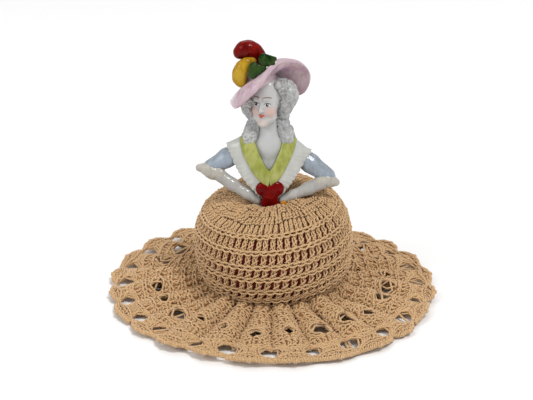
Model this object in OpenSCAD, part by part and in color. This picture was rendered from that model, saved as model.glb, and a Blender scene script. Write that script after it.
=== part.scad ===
// Half-doll pincushion: a glazed porcelain half-doll sewn to a stuffed ball that wears a
// crocheted skirt, with a wide lace brim lying on the table.
// Millimetres, +Z up, -Y to the front, origin on the table under the middle of the brim.

/* [Cushion] */
// Outer diameter of the crocheted ball
ball_d = 70; // [66:1:74]
// Height of the ball's crown above the table
ball_h = 48.2; // [46:0.2:50]
// Diameter of the crown ring around the dimple
crown_d = 30; // [26:1:34]
// Lean of the ball towards -X, in degrees
ball_lean = 5; // [3:0.5:6]
// Lean of the ball towards the front, in degrees
ball_nod = 4; // [2:0.5:5]
// Thickness of the crocheted fabric
crochet_t = 1.5; // [1.2:0.1:1.6]
// Thickness of the cushion's woven cover
cover_t = 0.6; // [0.4:0.1:0.8]
// Diameter of the cardboard stiffener in the base
card_d = 39; // [36:1:40]
// Number of whip stitches that close the base
base_stitches = 24; // [12:2:30]

/* [Brim] */
// Overall diameter of the lace brim
brim_d = 150; // [144:1:156]
// Diameter where the lace edging takes over from the solid rounds
lace_in_d = 108; // [104:1:112]
// Pattern repeats around the brim
repeats = 24; // [20:2:26]
// Height of the ruffles above the table
ruffle_h = 4.2; // [2:0.2:5]

/* [Half-doll] */
// Height of the doll's waist line above the table
waist_z = 46.2; // [46:0.1:46.6]
// Diameter of the sewing flange
flange_d = 20.8; // [19:0.2:21]
// Diameter of each sewing hole
sew_hole_d = 1.5; // [1.2:0.1:1.8]
// Diameter of the sewing thread
thread_d = 0.7; // [0.5:0.1:0.8]
// Radius of the hat's brim
hat_r = 16.5; // [15.5:0.5:17.5]
// Thickness of the hat's brim
hat_t = 1.8; // [1.4:0.1:2.2]
// How far the hat's back flap hangs below the brim
flap_drop = 16; // [12:1:18]

/* [Hidden] */
organic_fn = 14;
round_fn = 40;

// The ball's profile is a superellipse around the crown ring.
crown_r = crown_d / 2;
mid_z = ball_h / 2 + 0.3;
half_h = ball_h - mid_z;
squareness = 0.85;
mouth_r = 6.5;
profile_step = 10;
table_gap = 0.8;
card_t = 1.5;
base_seam = 0.5;
cloth_gap = 0.2;

ball_x = 0.5;
doll_x = -1.2;
doll_y = -2;
dimple_r = flange_d / 2 + 1.2;
flange_t = 1.6;
bow_gap = 0.15;
flange_z = -7;
stem_r = 5.8;
bore_r = 4.3;
bore_top = 13;
sew_r = 8.5;
stitch_depth = 5;

brim_in_r = 21.5;
brim_t = 1.5;
lace_t = 1.6;
lace_gap = 0.1;

hat_at = [-5.2, 1, 54.6];
hat_pitch = 12;
hat_roll = 42;
flap_side = 65;
crown_top_r = 5.6;
crown_base_r = 7.4;
crown_rise = 7;

// ---------------------------------------------------------------- shared shapes

function spow(v, p) = sign(v) * pow(abs(v), p);

// A point of the ball's profile, moved in by inset; t runs from the underside (-90) over the top.
function ball_point(t, inset, inner_r) =
    let (reach = t <= 90 ? ball_d / 2 - crown_r : crown_r - inner_r)
    [crown_r + (reach - inset) * spow(cos(t), squareness), mid_z + (half_h - inset) * spow(sin(t), squareness)];

function ball_arc(from, to, inset, inner_r) =
    let (n = round(abs(to - from) / profile_step))
    [for (i = [0:n]) ball_point(from + (to - from) * i / n, inset, inner_r)];

module lean() translate([ball_x, 0, mid_z]) rotate([ball_nod, -ball_lean, 0])
    translate([0, 0, -mid_z]) children();

module above(z) translate([-100, -100, z]) cube([200, 200, 200]);

module at_waist() translate([doll_x, doll_y, waist_z]) children();

module blob(p, r) translate(p) sphere(r, $fn = organic_fn);

module egg(p, radii, turn = [0, 0, 0])
    translate(p) rotate(turn) scale(radii) sphere(1, $fn = organic_fn);

module limb(points, radii)
    for (i = [0:len(points) - 2])
        hull() {
            blob(points[i], radii[i]);
            blob(points[i + 1], radii[i + 1]);
        }

// A band between two edge lines, as thick as twice r.
module band(outer, inner, r)
    for (i = [0:len(outer) - 2])
        hull() {
            blob(outer[i], r);
            blob(inner[i], r);
            blob(outer[i + 1], r);
            blob(inner[i + 1], r);
        }

// ---------------------------------------------------------------- half-doll, about its waist

module bust_form() {
    bust = [[-5, -2.6, 14.4], [4.6, -2.6, 14.4]];
    hull() {
        cylinder(r = stem_r, h = 0.5, $fn = 32);
        for (p = bust) blob(p, 5.6);
        blob([-0.2, 1.6, 14], 5.4);
    }
    hull() {
        for (p = bust) blob(p, 5.6);
        blob([-0.2, 1.6, 14], 5.4);
        blob([-12.8, 0.6, 21.2], 3.4);
        blob([12.6, 0.4, 19.6], 3.4);
        translate([-0.4, 0.6, 25]) cylinder(r = 4.6, h = 1.2, $fn = 32);
    }
}

module sew_hole_places() for (a = [45:90:315]) rotate(a) translate([sew_r, 0, 0]) children();

module doll_torso() {
    color("ghostwhite") at_waist() difference() {
        union() {
            bust_form();
            translate([0, 0, flange_z]) cylinder(r = stem_r, h = -flange_z + 0.2);
            translate([0, 0, flange_z]) cylinder(d = flange_d, h = flange_t);
        }
        translate([0, 0, flange_z - 1]) cylinder(r = bore_r, h = bore_top - flange_z + 1);
        sew_hole_places() translate([0, 0, flange_z - 1]) cylinder(d = sew_hole_d, h = flange_t + 2);
    }
}

module neck_form() hull() {
    translate([-0.4, 0.6, 25]) cylinder(r = 4.2, h = 2, $fn = 32);
    blob([-1, -0.4, 37], 3.7);
}

module head_form() {
    hull() {
        egg([-1.4, -1.8, 46.2], [6.5, 6.9, 9.2]);
        blob([-3, -6, 37.2], 2.8);
        blob([0.8, -3.6, 39.4], 3.4);
        blob([-4.8, -4.4, 39.4], 2.9);
    }
    hull() {
        blob([-4.1, -8, 44.2], 0.7);
        blob([-4.4, -9, 42], 0.9);
    }
}

module doll_head() {
    color("ghostwhite") at_waist() difference() {
        union() {
            neck_form();
            head_form();
        }
        bust_form();
        ringlets_form(-1);
        ringlets_form(1);
    }
}

// Swept-back wig: a cap over the head and rows of rolled curls.
module hair_form() {
    egg([-0.2, 1.8, 47], [8.6, 7.8, 11.6]);
    limb([[8.6, -0.6, 51.5], [9.2, -1, 46], [7.4, -0.8, 41.4], [5.8, -0.4, 38]], [3.6, 3.5, 3, 2.4]);
    limb([[-8.4, -2, 46.4], [-9.4, -2.8, 43.6], [-8.2, -2.4, 40.4], [-6.2, -1.2, 37.8]], [2.8, 2.9, 2.6, 2.2]);
    limb([[8, 4, 50], [7, 5.6, 44], [4, 6.4, 39], [-1, 6.8, 37.4], [-6, 5, 39.5]], [3.2, 3.2, 3, 3, 2.8]);
}

module hair() {
    color("gainsboro") at_waist() difference() {
        hair_form();
        head_form();
        neck_form();
    }
}

module ringlets_form(side)
    limb(side < 0
        ? [[-5, 0.2, 37], [-6.2, -0.2, 33], [-7.4, -1.4, 29.6], [-8.2, -3.2, 27.4]]
        : [[5, 0.2, 37], [6, -0.2, 33.4], [7.8, -1.4, 29.8], [8.8, -3, 27.6]],
        [2, 2.2, 2.7, 2.4]);

module ringlets(side) {
    color("gainsboro") at_waist() difference() {
        ringlets_form(side);
        bust_form();
        fichu_frill_form();
        fichu_ribbon_form();
        hair_form();
    }
}

// ---------------------------------------------------------------- hat

module at_hat() translate(hat_at) rotate([0, -hat_roll, 0]) rotate([-hat_pitch, 0, 0]) children();

// The brim is flat in front and to the left, and hangs down as a flap at the back right.
function ease(v) = let (t = min(1, max(0, v))) t * t * (3 - 2 * t);
function flap(a) = ease((cos(a - flap_side) + 0.25) / 1.25);
function hat_brim_point(a, s, up) =
    let (r = (hat_r - 3 * flap(a) - 2.5 * ease(-sin(a))) * (0.32 + 0.68 * s))
    [r * cos(a), r * sin(a), -flap_drop * flap(a) * s * s + hat_t * up];

module hat_brim_form() {
    across = 4;
    around = 36;
    ring_skin(across, around, [for (up = [0:1], j = [0:across], i = [0:around - 1])
        hat_brim_point(360 * i / around, j / across, up)]);
}

// A closed ring whose points run around, then across, with the under skin before the upper one.
module ring_skin(across, around, points) {
    function at(up, j, i) = (up * (across + 1) + j) * around + i % around;
    skin = [for (j = [0:across - 1], i = [0:around - 1]) each [
        [at(1, j, i), at(1, j + 1, i + 1), at(1, j + 1, i)],
        [at(1, j, i), at(1, j, i + 1), at(1, j + 1, i + 1)],
        [at(0, j, i), at(0, j + 1, i), at(0, j + 1, i + 1)],
        [at(0, j, i), at(0, j + 1, i + 1), at(0, j, i + 1)]
    ]];
    edges = [for (i = [0:around - 1]) each [
        [at(1, across, i), at(0, across, i + 1), at(0, across, i)],
        [at(1, across, i), at(1, across, i + 1), at(0, across, i + 1)],
        [at(1, 0, i), at(0, 0, i), at(0, 0, i + 1)],
        [at(1, 0, i), at(0, 0, i + 1), at(1, 0, i + 1)]
    ]];
    polyhedron(points = points, faces = concat(skin, edges));
}

module hat_crown_form() hull() {
    translate([0, 0, hat_t / 2]) cylinder(r = crown_base_r, h = 0.5, $fn = 32);
    translate([0, 0, crown_rise - 1]) cylinder(r = crown_top_r, h = 1, $fn = 32);
}

module hat_brim() {
    color("thistle") at_waist() difference() {
        at_hat() hat_brim_form();
        head_form();
        hair_form();
        at_hat() hat_crown_form();
    }
}

module hat_crown() {
    color("lavenderblush") at_waist() difference() {
        at_hat() hat_crown_form();
        head_form();
        hair_form();
    }
}

module red_plume_form()
    limb([[-2, 0, 61.6], [-4.4, 0, 65.2], [-7.8, 0, 67.2], [-11, -0.4, 66.7], [-12.8, -0.6, 64.9]],
        [2.4, 3.2, 3.6, 3.4, 2.7]);

module yellow_plume_form()
    limb([[-7.5, -2.6, 63], [-10.4, -4, 62.4], [-13, -4.6, 59.4], [-13.2, -4.8, 55.8], [-12, -4.8, 53.8]],
        [2, 2.6, 3.2, 3.3, 2.5]);

module red_plume() {
    color("firebrick") at_waist() difference() {
        red_plume_form();
        yellow_plume_form();
        at_hat() hat_crown_form();
    }
}

module yellow_plume() {
    color("gold") at_waist() difference() {
        yellow_plume_form();
        at_hat() hat_crown_form();
        at_hat() hat_brim_form();
    }
}

module hat_leaf_form(p, turn) translate(p) rotate(turn) hull() {
    egg([0, 0, 0], [3, 1.5, 2.8]);
    blob([0, 0, 3.4], 0.9);
    blob([-1.6, 0, -2.2], 1.1);
}

module hat_leaves() {
    color("darkgreen") at_waist() difference() {
        union() {
            hat_leaf_form([-5.8, -7.8, 60.4], [0, 200, 0]);
            hat_leaf_form([-0.8, -7, 62.8], [0, 70, 0]);
        }
        at_hat() hat_crown_form();
        at_hat() hat_brim_form();
        red_plume_form();
        yellow_plume_form();
    }
}

// ---------------------------------------------------------------- bodice

// Edge lines of the fichu, from the shoulder down to the waist: left side, then right side.
frill_outer = [
    [[-18.3, -0.2, 24.4], [-15.8, -4, 17.8], [-10.8, -7, 9.6], [-5.2, -7.8, 4.6]],
    [[18.2, -0.8, 21.4], [14.1, -4, 15.4], [9.8, -7, 8.3], [5.4, -7.8, 4.6]]
];
frill_inner = [
    [[-13, -2, 27.6], [-11.2, -5.4, 21.8], [-6.6, -8.4, 13.6], [-1.6, -8.6, 6.6]],
    [[12, -2.4, 25.6], [9.2, -6, 20], [5.4, -8.4, 13.6], [1.4, -8.6, 6.6]]
];
ribbon_inner = [
    [[-6.8, -3.6, 27.6], [-4.1, -7, 21.8], [-1.9, -8.6, 17.6], [0, -9, 14.6]],
    [[7.6, -3.6, 26.4], [4.1, -7, 21.4], [1.9, -8.6, 17.6], [0, -9, 14.6]]
];
back_outer = [[-18.3, -0.2, 24.4], [-12.5, 6, 20], [0, 8, 17.4], [12.5, 6, 18.6], [18.2, -0.8, 21.4]];
back_inner = [[-13, -2, 27.6], [-8, 3.4, 27], [0, 5.4, 26.2], [8, 3.4, 25.8], [12, -2.4, 25.6]];

module fichu_frill_form() {
    for (k = [0, 1]) band(frill_outer[k], frill_inner[k], 0.9);
    band(back_outer, back_inner, 0.9);
}

module fichu_frill() {
    color("white") at_waist() difference() {
        fichu_frill_form();
        bust_form();
        neck_form();
    }
}

module fichu_ribbon_form() for (k = [0, 1]) band(frill_inner[k], ribbon_inner[k], 1.1);

module fichu_ribbon() {
    color("yellowgreen") at_waist() difference() {
        fichu_ribbon_form();
        bust_form();
        fichu_frill_form();
        neck_form();
    }
}

module bow_outline() {
    for (side = [-1, 1]) hull() {
        translate([side * 2.9, 7.6]) circle(2.8);
        translate([side * 1.2, 6.2]) circle(1.9);
    }
    hull() {
        translate([0, 4.6]) circle(3);
        translate([-2.6, 0.6]) circle(1.2);
        translate([2.6, 0.6]) circle(1.2);
    }
}

module bow() {
    color("crimson") difference() {
        at_waist() difference() {
            translate([0.2, -8.3, 0.6]) rotate([82, 0, 0]) linear_extrude(4.8, center = true) bow_outline();
            bust_form();
            fichu_frill_form();
            fichu_ribbon_form();
            forearm_form(-1);
            forearm_form(1);
        }
        lean() ball_solid(-bow_gap);
    }
}

module posy_bud() {
    color("goldenrod") at_waist() difference() {
        blob([7.4, -8.6, 1.2], 1.5);
        forearm_form(1);
    }
}

// ---------------------------------------------------------------- arms

function arm(side) = side < 0
    ? [[-13.6, 0.4, 21], [-18, -0.2, 19.2], [-22.6, -1.4, 15.4]]
    : [[13.4, 0.2, 19.4], [17.4, -1, 16.6], [22.8, -2.4, 11.8]];
function cuff_tip(side) = side < 0 ? [-30.2, -2.4, 14.2] : [28.8, -4, 9.2];
function cuff_hem(side) = side < 0 ? [-24.4, -3.6, 12.4] : [22, -4.6, 8.6];
function elbow(side) = side < 0 ? [-21.6, -3.4, 11.4] : [21.4, -4.4, 8.2];
function wrist(side) = side < 0 ? [-9.8, -6.8, 4.4] : [10.2, -7, 3.9];
function hand(side) = side < 0 ? [-5, -7.8, 1.6] : [5.4, -7.8, 1.6];

module sleeve_form(side) limb(arm(side), [3.6, 3.9, 4]);

module cuff_form(side) hull() {
    blob(arm(side)[2], 4.1);
    blob(cuff_tip(side), 1.7);
    blob(cuff_hem(side), 2.2);
}

module forearm_form(side) limb([elbow(side), wrist(side), hand(side)], [2.5, 1.8, 1.7]);

module sleeve(side) {
    color("lightsteelblue") at_waist() difference() {
        sleeve_form(side);
        bust_form();
        fichu_frill_form();
    }
}

module cuff(side) {
    color("whitesmoke") at_waist() difference() {
        cuff_form(side);
        sleeve_form(side);
        forearm_form(side);
    }
}

module forearm(side) {
    color("ghostwhite") at_waist() difference() {
        forearm_form(side);
        bust_form();
        fichu_frill_form();
        sleeve_form(side);
    }
}

// ---------------------------------------------------------------- cushion

module ball_ring(inset, from, to, inner_r) rotate_extrude($fn = round_fn)
    polygon(concat(ball_arc(from, to, inset, inner_r), ball_arc(to, from, inset + crochet_t, inner_r)));

module ball_solid(inset) rotate_extrude($fn = round_fn)
    polygon(concat([[0, mid_z - half_h + inset]], ball_arc(-88, 92, inset, mouth_r), [[0, ball_h - inset]]));

module dimple(wall) at_waist() translate([0, 0, flange_z - 0.1 - wall]) cylinder(r = dimple_r + wall, h = 40);

// Where each sewing stitch goes down into the cushion, through a hole and outside the flange.
module stitch_legs(r) at_waist() sew_hole_places()
    for (dx = [0, flange_d / 2 - sew_r + thread_d / 2 + 0.1])
        translate([dx, 0, flange_z - stitch_depth]) cylinder(r = r, h = stitch_depth + flange_t + 0.1);

module sewing_stitches() {
    reach = flange_d / 2 - sew_r + thread_d / 2 + 0.1;
    color("tan") {
        stitch_legs(thread_d / 2);
        at_waist() sew_hole_places() for (z = [flange_z + flange_t + thread_d / 2 + 0.05, flange_z - stitch_depth])
            translate([-thread_d / 2, -thread_d / 2, z - thread_d / 2]) cube([reach + thread_d, thread_d, thread_d]);
    }
}

module gathering_cord() {
    color("burlywood") lean() translate([0, 0, ball_point(138, 0, mouth_r)[1] + 0.3])
        rotate_extrude($fn = round_fn) translate([8, 0]) circle(0.55);
}

module crochet_cover() {
    color("burlywood") intersection() {
        lean() ball_ring(0, -68, 136, mouth_r);
        above(brim_t + 0.1);
    }
}

module stuffed_ball(inset, wall) difference() {
    lean() ball_solid(inset);
    dimple(wall);
    translate([-100, -100, -200 + table_gap + card_t + 0.1]) cube(200);
    stitch_legs(thread_d / 2 + 0.02);
}

module cushion_cover() {
    inset = crochet_t + cloth_gap;
    color("maroon") difference() {
        stuffed_ball(inset, 0);
        difference() {
            lean() ball_solid(inset + cover_t);
            dimple(cover_t);
        }
    }
}

module cushion_filling() {
    color("wheat") difference() {
        stuffed_ball(crochet_t + cloth_gap + cover_t + 0.05, cover_t + 0.05);
        at_waist() sew_hole_places() translate([-1, -1, flange_z - stitch_depth - 1]) cube([5, 2, 2]);
    }
}

module base_card() {
    color("peru") translate([0, 0, table_gap]) cylinder(d = card_d, h = card_t, $fn = round_fn);
}

module base_cover() {
    color("maroon") difference() {
        cylinder(r = brim_in_r - base_seam, h = table_gap + card_t, $fn = round_fn);
        translate([0, 0, table_gap]) cylinder(d = card_d + 0.4, h = card_t + 1, $fn = round_fn);
    }
}

// Slanting stitches in the seam between the base and the first round of the brim.
module base_stitching() {
    stitch_r = 0.22;
    seam_r = brim_in_r - base_seam / 2;
    color("tan") for (i = [0:base_stitches - 1]) rotate(360 * i / base_stitches)
        translate([seam_r, 0, 1.1]) rotate([35, 0, 0]) cylinder(r = stitch_r, h = 1.6, center = true, $fn = 16);
}

// ---------------------------------------------------------------- brim

// Ruffles stand up between the table and ruffle_h, and die out at both edges.
function ruffle(a, r) =
    let (share = (r - brim_in_r) / (lace_in_d / 2 - brim_in_r))
    (ruffle_h - brim_t) * sin(180 * share) * (0.5 + 0.5 * cos(repeats * a));

function brim_point(a, r, up) = [r * cos(a), r * sin(a), ruffle(a, r) * (0.35 + 0.65 * up) + brim_t * up];

module crochet_brim() {
    around = repeats * 4;
    across = 5;
    function radius(j) = brim_in_r + (lace_in_d / 2 - lace_gap - brim_in_r) * j / across;
    color("burlywood") ring_skin(across, around,
        [for (up = [0:1], j = [0:across], i = [0:around - 1]) brim_point(360 * i / around, radius(j), up)]);
}

module lace_outline() {
    picot_r = 1.7;
    scallop_r = 6.5;
    hole_r = 3.3;
    hole_at = brim_d / 2 - 11;
    difference() {
        union() {
            circle(brim_d / 2 - 5);
            for (i = [0:repeats - 1]) rotate(360 * i / repeats) {
                translate([brim_d / 2 - 2 - scallop_r, 0]) circle(scallop_r);
                translate([brim_d / 2 - picot_r, 0]) circle(picot_r);
            }
        }
        circle(lace_in_d / 2);
        for (i = [0:repeats - 1]) rotate(360 * (i + 0.5) / repeats) translate([hole_at, 0]) circle(hole_r);
    }
}

module lace_edging() {
    color("burlywood") linear_extrude(lace_t) lace_outline();
}

doll_torso();
doll_head();
hair();
ringlets(-1);  // left_ringlets
ringlets(1);  // right_ringlets
hat_brim();
hat_crown();
red_plume();
yellow_plume();
hat_leaves();
fichu_frill();
fichu_ribbon();
bow();
posy_bud();
sleeve(-1);  // left_sleeve
sleeve(1);  // right_sleeve
cuff(-1);  // left_cuff
cuff(1);  // right_cuff
forearm(-1);  // left_forearm
forearm(1);  // right_forearm
sewing_stitches();
gathering_cord();
crochet_cover();
crochet_brim();
lace_edging();
cushion_cover();
cushion_filling();
base_card();
base_cover();
base_stitching();
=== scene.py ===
"""Half-doll pincushion: a porcelain half-doll sewn into a crochet-covered ball on a lace brim."""

import math
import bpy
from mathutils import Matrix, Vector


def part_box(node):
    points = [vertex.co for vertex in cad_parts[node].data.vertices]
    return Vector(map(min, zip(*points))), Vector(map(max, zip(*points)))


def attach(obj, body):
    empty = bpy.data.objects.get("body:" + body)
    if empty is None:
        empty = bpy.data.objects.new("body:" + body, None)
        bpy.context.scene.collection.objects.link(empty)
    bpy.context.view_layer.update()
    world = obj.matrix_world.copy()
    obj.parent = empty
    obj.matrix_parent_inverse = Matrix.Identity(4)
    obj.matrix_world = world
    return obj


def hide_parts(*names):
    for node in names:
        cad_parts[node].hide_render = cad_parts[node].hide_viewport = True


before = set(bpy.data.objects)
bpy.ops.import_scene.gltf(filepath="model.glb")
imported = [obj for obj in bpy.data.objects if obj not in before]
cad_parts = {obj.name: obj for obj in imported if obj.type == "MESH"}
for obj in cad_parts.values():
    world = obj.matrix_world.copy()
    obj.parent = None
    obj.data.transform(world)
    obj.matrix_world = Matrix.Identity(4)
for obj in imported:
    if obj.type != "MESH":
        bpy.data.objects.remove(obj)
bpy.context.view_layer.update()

import bpy
import numpy as np
from mathutils import Vector

MM = 0.001
TAU = 2 * math.pi
random = np.random.default_rng(11)


# ---------------------------------------------------------------- places taken from the CAD frame

def box_mm(node):
    """Lowest and highest corner of a CAD node, in millimetres."""
    low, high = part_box(node)
    return np.array(low) / MM, np.array(high) / MM


BALL_LOW, BALL_HIGH = box_mm("crochet_cover")
BALL_R = (BALL_HIGH[0] - BALL_LOW[0]) / 2
BALL_X = (BALL_HIGH[0] + BALL_LOW[0]) / 2
TORSO_LOW, _ = box_mm("doll_torso")
FLANGE_DROP = 7.0
WAIST = np.array([-1.2, -2.0, TORSO_LOW[2] + FLANGE_DROP])


# ---------------------------------------------------------------- small helpers

def unit(v):
    """Vectors brought to length 1."""
    return v / np.maximum(np.linalg.norm(v, axis=-1, keepdims=True), 1e-9)


def smooth01(t):
    """An even step from 0 to 1 with soft ends."""
    t = np.clip(t, 0, 1)
    return t * t * (3 - 2 * t)


def rotated(x, y, angle):
    """The pair x, y turned by an angle."""
    return x * math.cos(angle) - y * math.sin(angle), x * math.sin(angle) + y * math.cos(angle)


def net(rows, turns):
    """Numbers of the points of a net that is closed one way round, row by row, and its quads."""
    index = np.arange(rows * turns).reshape(rows, turns)
    nxt = np.roll(index, -1, axis=1)
    return index, np.stack([index[:-1], nxt[:-1], nxt[1:], index[1:]], -1)


def new_object(name, points_mm, faces, material, uv=None, smooth=True):
    """Makes a mesh object from points in millimetres and an array of faces, or a list of arrays."""
    mesh = bpy.data.meshes.new(name)
    sets = faces if isinstance(faces, list) else [faces]
    loops = np.concatenate([f.ravel() for f in sets])
    sizes = np.concatenate([np.full(len(f), f.shape[1]) for f in sets])
    mesh.vertices.add(len(points_mm))
    mesh.vertices.foreach_set("co", (points_mm * MM).astype(np.float32).ravel())
    mesh.loops.add(len(loops))
    mesh.loops.foreach_set("vertex_index", loops.astype(np.int32))
    mesh.polygons.add(len(sizes))
    starts = np.concatenate([[0], np.cumsum(sizes)[:-1]])
    mesh.polygons.foreach_set("loop_start", starts.astype(np.int32))
    mesh.update(calc_edges=True)
    mesh.polygons.foreach_set("use_smooth", np.full(len(sizes), smooth))
    if uv is not None:
        layer = mesh.uv_layers.new(name="thread")
        layer.data.foreach_set("uv", uv.astype(np.float32).ravel())
    mesh.validate()
    mesh.materials.append(material)
    obj = bpy.data.objects.new(name, mesh)
    bpy.context.scene.collection.objects.link(obj)
    return obj


def register(obj, slot, *nodes):
    """Rides the piece on the one body and hides the CAD nodes it stands for."""
    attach(obj, "root")
    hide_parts(*nodes)
    return obj


# ---------------------------------------------------------------- material building

class Nodes:
    """Thin wrapper that adds and links shader nodes."""

    def __init__(self, name):
        self.material = bpy.data.materials.new(name)
        self.material.use_nodes = True
        self.tree = self.material.node_tree
        self.shader = self.tree.nodes["Principled BSDF"]

    def add(self, kind, inputs=None, **settings):
        node = self.tree.nodes.new("ShaderNode" + kind)
        for key, value in settings.items():
            setattr(node, key, value)
        for key, value in (inputs or {}).items():
            self.put(node.inputs[key], value)
        return node

    def put(self, socket, value):
        if isinstance(value, bpy.types.NodeSocket):
            self.tree.links.new(value, socket)
        else:
            socket.default_value = value

    def math(self, operation, a, b=0.0, c=0.0):
        return self.add("Math", {0: a, 1: b, 2: c}, operation=operation).outputs[0]

    def times(self, a, b):
        return self.math("MULTIPLY", a, b)

    def scaled(self, a, factor, more):
        """a times factor, plus more."""
        return self.math("MULTIPLY_ADD", a, factor, more)

    def mix(self, factor, a, b):
        node = self.add("Mix", data_type="RGBA")
        self.put(node.inputs[0], factor)
        self.put(node.inputs[6], a)
        self.put(node.inputs[7], b)
        return node.outputs[2]

    def ramp(self, value, low, high, start=0.0, end=1.0):
        inputs = {0: value, 1: low, 2: high, 3: start, 4: end}
        return self.add("MapRange", inputs, interpolation_type="SMOOTHSTEP").outputs[0]

    def noise(self, scale, detail=2.0, vector=None, roughness=0.5):
        inputs = {"Scale": scale, "Detail": detail, "Roughness": roughness}
        if vector is not None:
            inputs["Vector"] = vector
        return self.add("TexNoise", inputs).outputs["Fac"]

    def bump(self, strength, distance, height):
        return self.add("Bump", {"Strength": strength, "Distance": distance, "Height": height}).outputs[0]

    def place(self):
        """Position in the row frame, in metres."""
        return self.add("TexCoord").outputs["Object"]

    def set(self, **values):
        for key, value in values.items():
            self.put(self.shader.inputs[key.replace("_", " ")], value)
        return self.material


def rgb(r, g, b):
    """Display colour from 0 to 255 as a linear shader colour."""
    def linear(v):
        v /= 255
        return v / 12.92 if v <= 0.04045 else ((v + 0.055) / 1.055) ** 2.4
    return (linear(r), linear(g), linear(b), 1.0)


def cotton_material():
    """Tan mercerised cotton: plies twisted round each thread, paler on their crowns, with painted shade in
    the grooves and hollows.
    """
    m = Nodes("crochet cotton")
    uv = m.add("UVMap", uv_map="thread").outputs["UV"]
    parts = m.add("SeparateXYZ", {"Vector": uv})
    along, around = parts.outputs[0], parts.outputs[1]
    turn = m.scaled(along, 0.95, m.times(around, 2.0))
    ply = m.math("ABSOLUTE", m.math("SINE", m.times(turn, math.pi)))
    place = m.place()
    fibre = m.noise(5200.0, 2.0, place)
    patch = m.noise(38.0, 3.0, place)
    light = m.mix(patch, rgb(208, 170, 122), rgb(220, 184, 138))
    # Painted shade: the grooves between the plies go towards this brown, mixed with real fibre tone from the
    # noise.
    dark = rgb(160, 112, 62)
    shade = m.scaled(fibre, 0.35, m.times(m.math("POWER", ply, 0.5), 0.72))
    color = m.mix(m.ramp(shade, 0.25, 0.8), dark, light)
    # Painted shade: where ambient occlusion finds thread close by, the colour goes to dark brown.
    open_sky = m.add("AmbientOcclusion", {"Distance": 0.0016}, samples=8).outputs["AO"]
    color = m.mix(m.ramp(open_sky, 0.12, 0.72), rgb(112, 70, 30), color)
    height = m.scaled(fibre, 0.25, ply)
    return m.set(Base_Color=color, Roughness=0.72, Normal=m.bump(0.5, 0.12 * MM, height),
                 Sheen_Weight=0.25, Sheen_Roughness=0.5, Specular_IOR_Level=0.35)


def shadow_material():
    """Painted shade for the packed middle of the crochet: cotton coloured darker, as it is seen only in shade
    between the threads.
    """
    m = Nodes("crochet painted shade")
    place = m.place()
    # Painted shade: two dark browns standing for cotton lying in the shade between threads.
    color = m.mix(m.noise(900.0, 3.0, place), rgb(118, 76, 40), rgb(164, 118, 72))
    bump = m.bump(0.8, 0.3 * MM, m.noise(1500.0, 2.0, place))
    return m.set(Base_Color=color, Roughness=0.9, Normal=bump)


# ---------------------------------------------------------------- threads

THREAD_R = 0.40
CHAIN_THICK = 1.08
TABLE_GAP = 0.05


def tubes(paths, radius, sides=6):
    """Round threads along paths, an array (threads, points, 3): vertices, faces and thread UVs."""
    count, steps, _ = paths.shape
    tangent = unit(np.gradient(paths, axis=1))
    side = unit(np.cross(tangent[:, 0], np.array([0.31, 0.52, 0.79])))
    sides_list = []
    for i in range(steps):
        t = tangent[:, i]
        side = unit(side - (side * t).sum(1, keepdims=True) * t)
        sides_list.append(side)
    across = np.stack(sides_list, 1)
    up = np.cross(tangent, across)
    angle = np.linspace(0, TAU, sides, endpoint=False)
    width = np.full(steps, radius)
    width[[0, -1]] *= 0.45
    ring = across[:, :, None] * np.cos(angle)[:, None] + up[:, :, None] * np.sin(angle)[:, None]
    points = paths[:, :, None] + ring * width[None, :, None, None]
    index = np.arange(count * steps * sides).reshape(count, steps, sides)
    nxt = np.roll(index, -1, axis=2)
    quads = np.stack([index[:, :-1], nxt[:, :-1], nxt[:, 1:], index[:, 1:]], -1).reshape(-1, 4)
    ends = np.concatenate([index[:, 0, ::-1], index[:, -1]])
    pieces = np.linalg.norm(np.diff(paths, axis=1), axis=2)
    length = np.concatenate([np.zeros((count, 1)), np.cumsum(pieces, 1)], 1)
    length += random.uniform(0, 3, (count, 1))
    u0 = np.repeat(length[:, :-1, None], sides, 2)
    u1 = np.repeat(length[:, 1:, None], sides, 2)
    v0 = np.broadcast_to(np.arange(sides) / sides, u0.shape)
    v1 = v0 + 1 / sides
    uv = np.stack([np.stack([u0, u0, u1, u1], -1), np.stack([v0, v1, v1, v0], -1)], -1).reshape(-1, 2)
    end_uv = np.zeros((ends.size, 2))
    return points.reshape(-1, 3), [quads, ends], np.concatenate([uv, end_uv])


def gather(parts):
    """Joins several results of tubes into one."""
    offset, points, quads, ends, uvs, end_uvs = 0, [], [], [], [], []
    for p, (q, e), uv in parts:
        points.append(p)
        quads.append(q + offset)
        ends.append(e + offset)
        uvs.append(uv[:q.size])
        end_uvs.append(uv[q.size:])
        offset += len(p)
    faces = [np.concatenate(quads), np.concatenate(ends)]
    return np.concatenate(points), faces, np.concatenate(uvs + end_uvs)


def thread_piece(name, parts, material, slot, *nodes):
    """One piece made of threads, which lie on the table and not in it."""
    points, faces, uv = gather(parts)
    points[:, 2] = np.maximum(points[:, 2], TABLE_GAP)
    return register(new_object(name, points, faces, material, uv), slot, *nodes)


class Fabric:
    """A surface that stitches are laid on: angle round it, distance along its profile, height off it."""

    def __init__(self, surface, facing=1):
        self.surface = surface
        self.facing = facing

    def lay(self, angle, along, out):
        here = self.surface(angle, along)
        d_angle = self.surface(angle + 0.002, along) - here
        d_along = self.surface(angle, along + 0.02) - here
        return here + unit(np.cross(d_angle, d_along)) * (self.facing * out[..., None])

    def radius(self, angle, along):
        here = self.surface(angle, along)
        return np.linalg.norm(self.surface(angle + 0.01, along) - here, axis=-1) / 0.01


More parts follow.
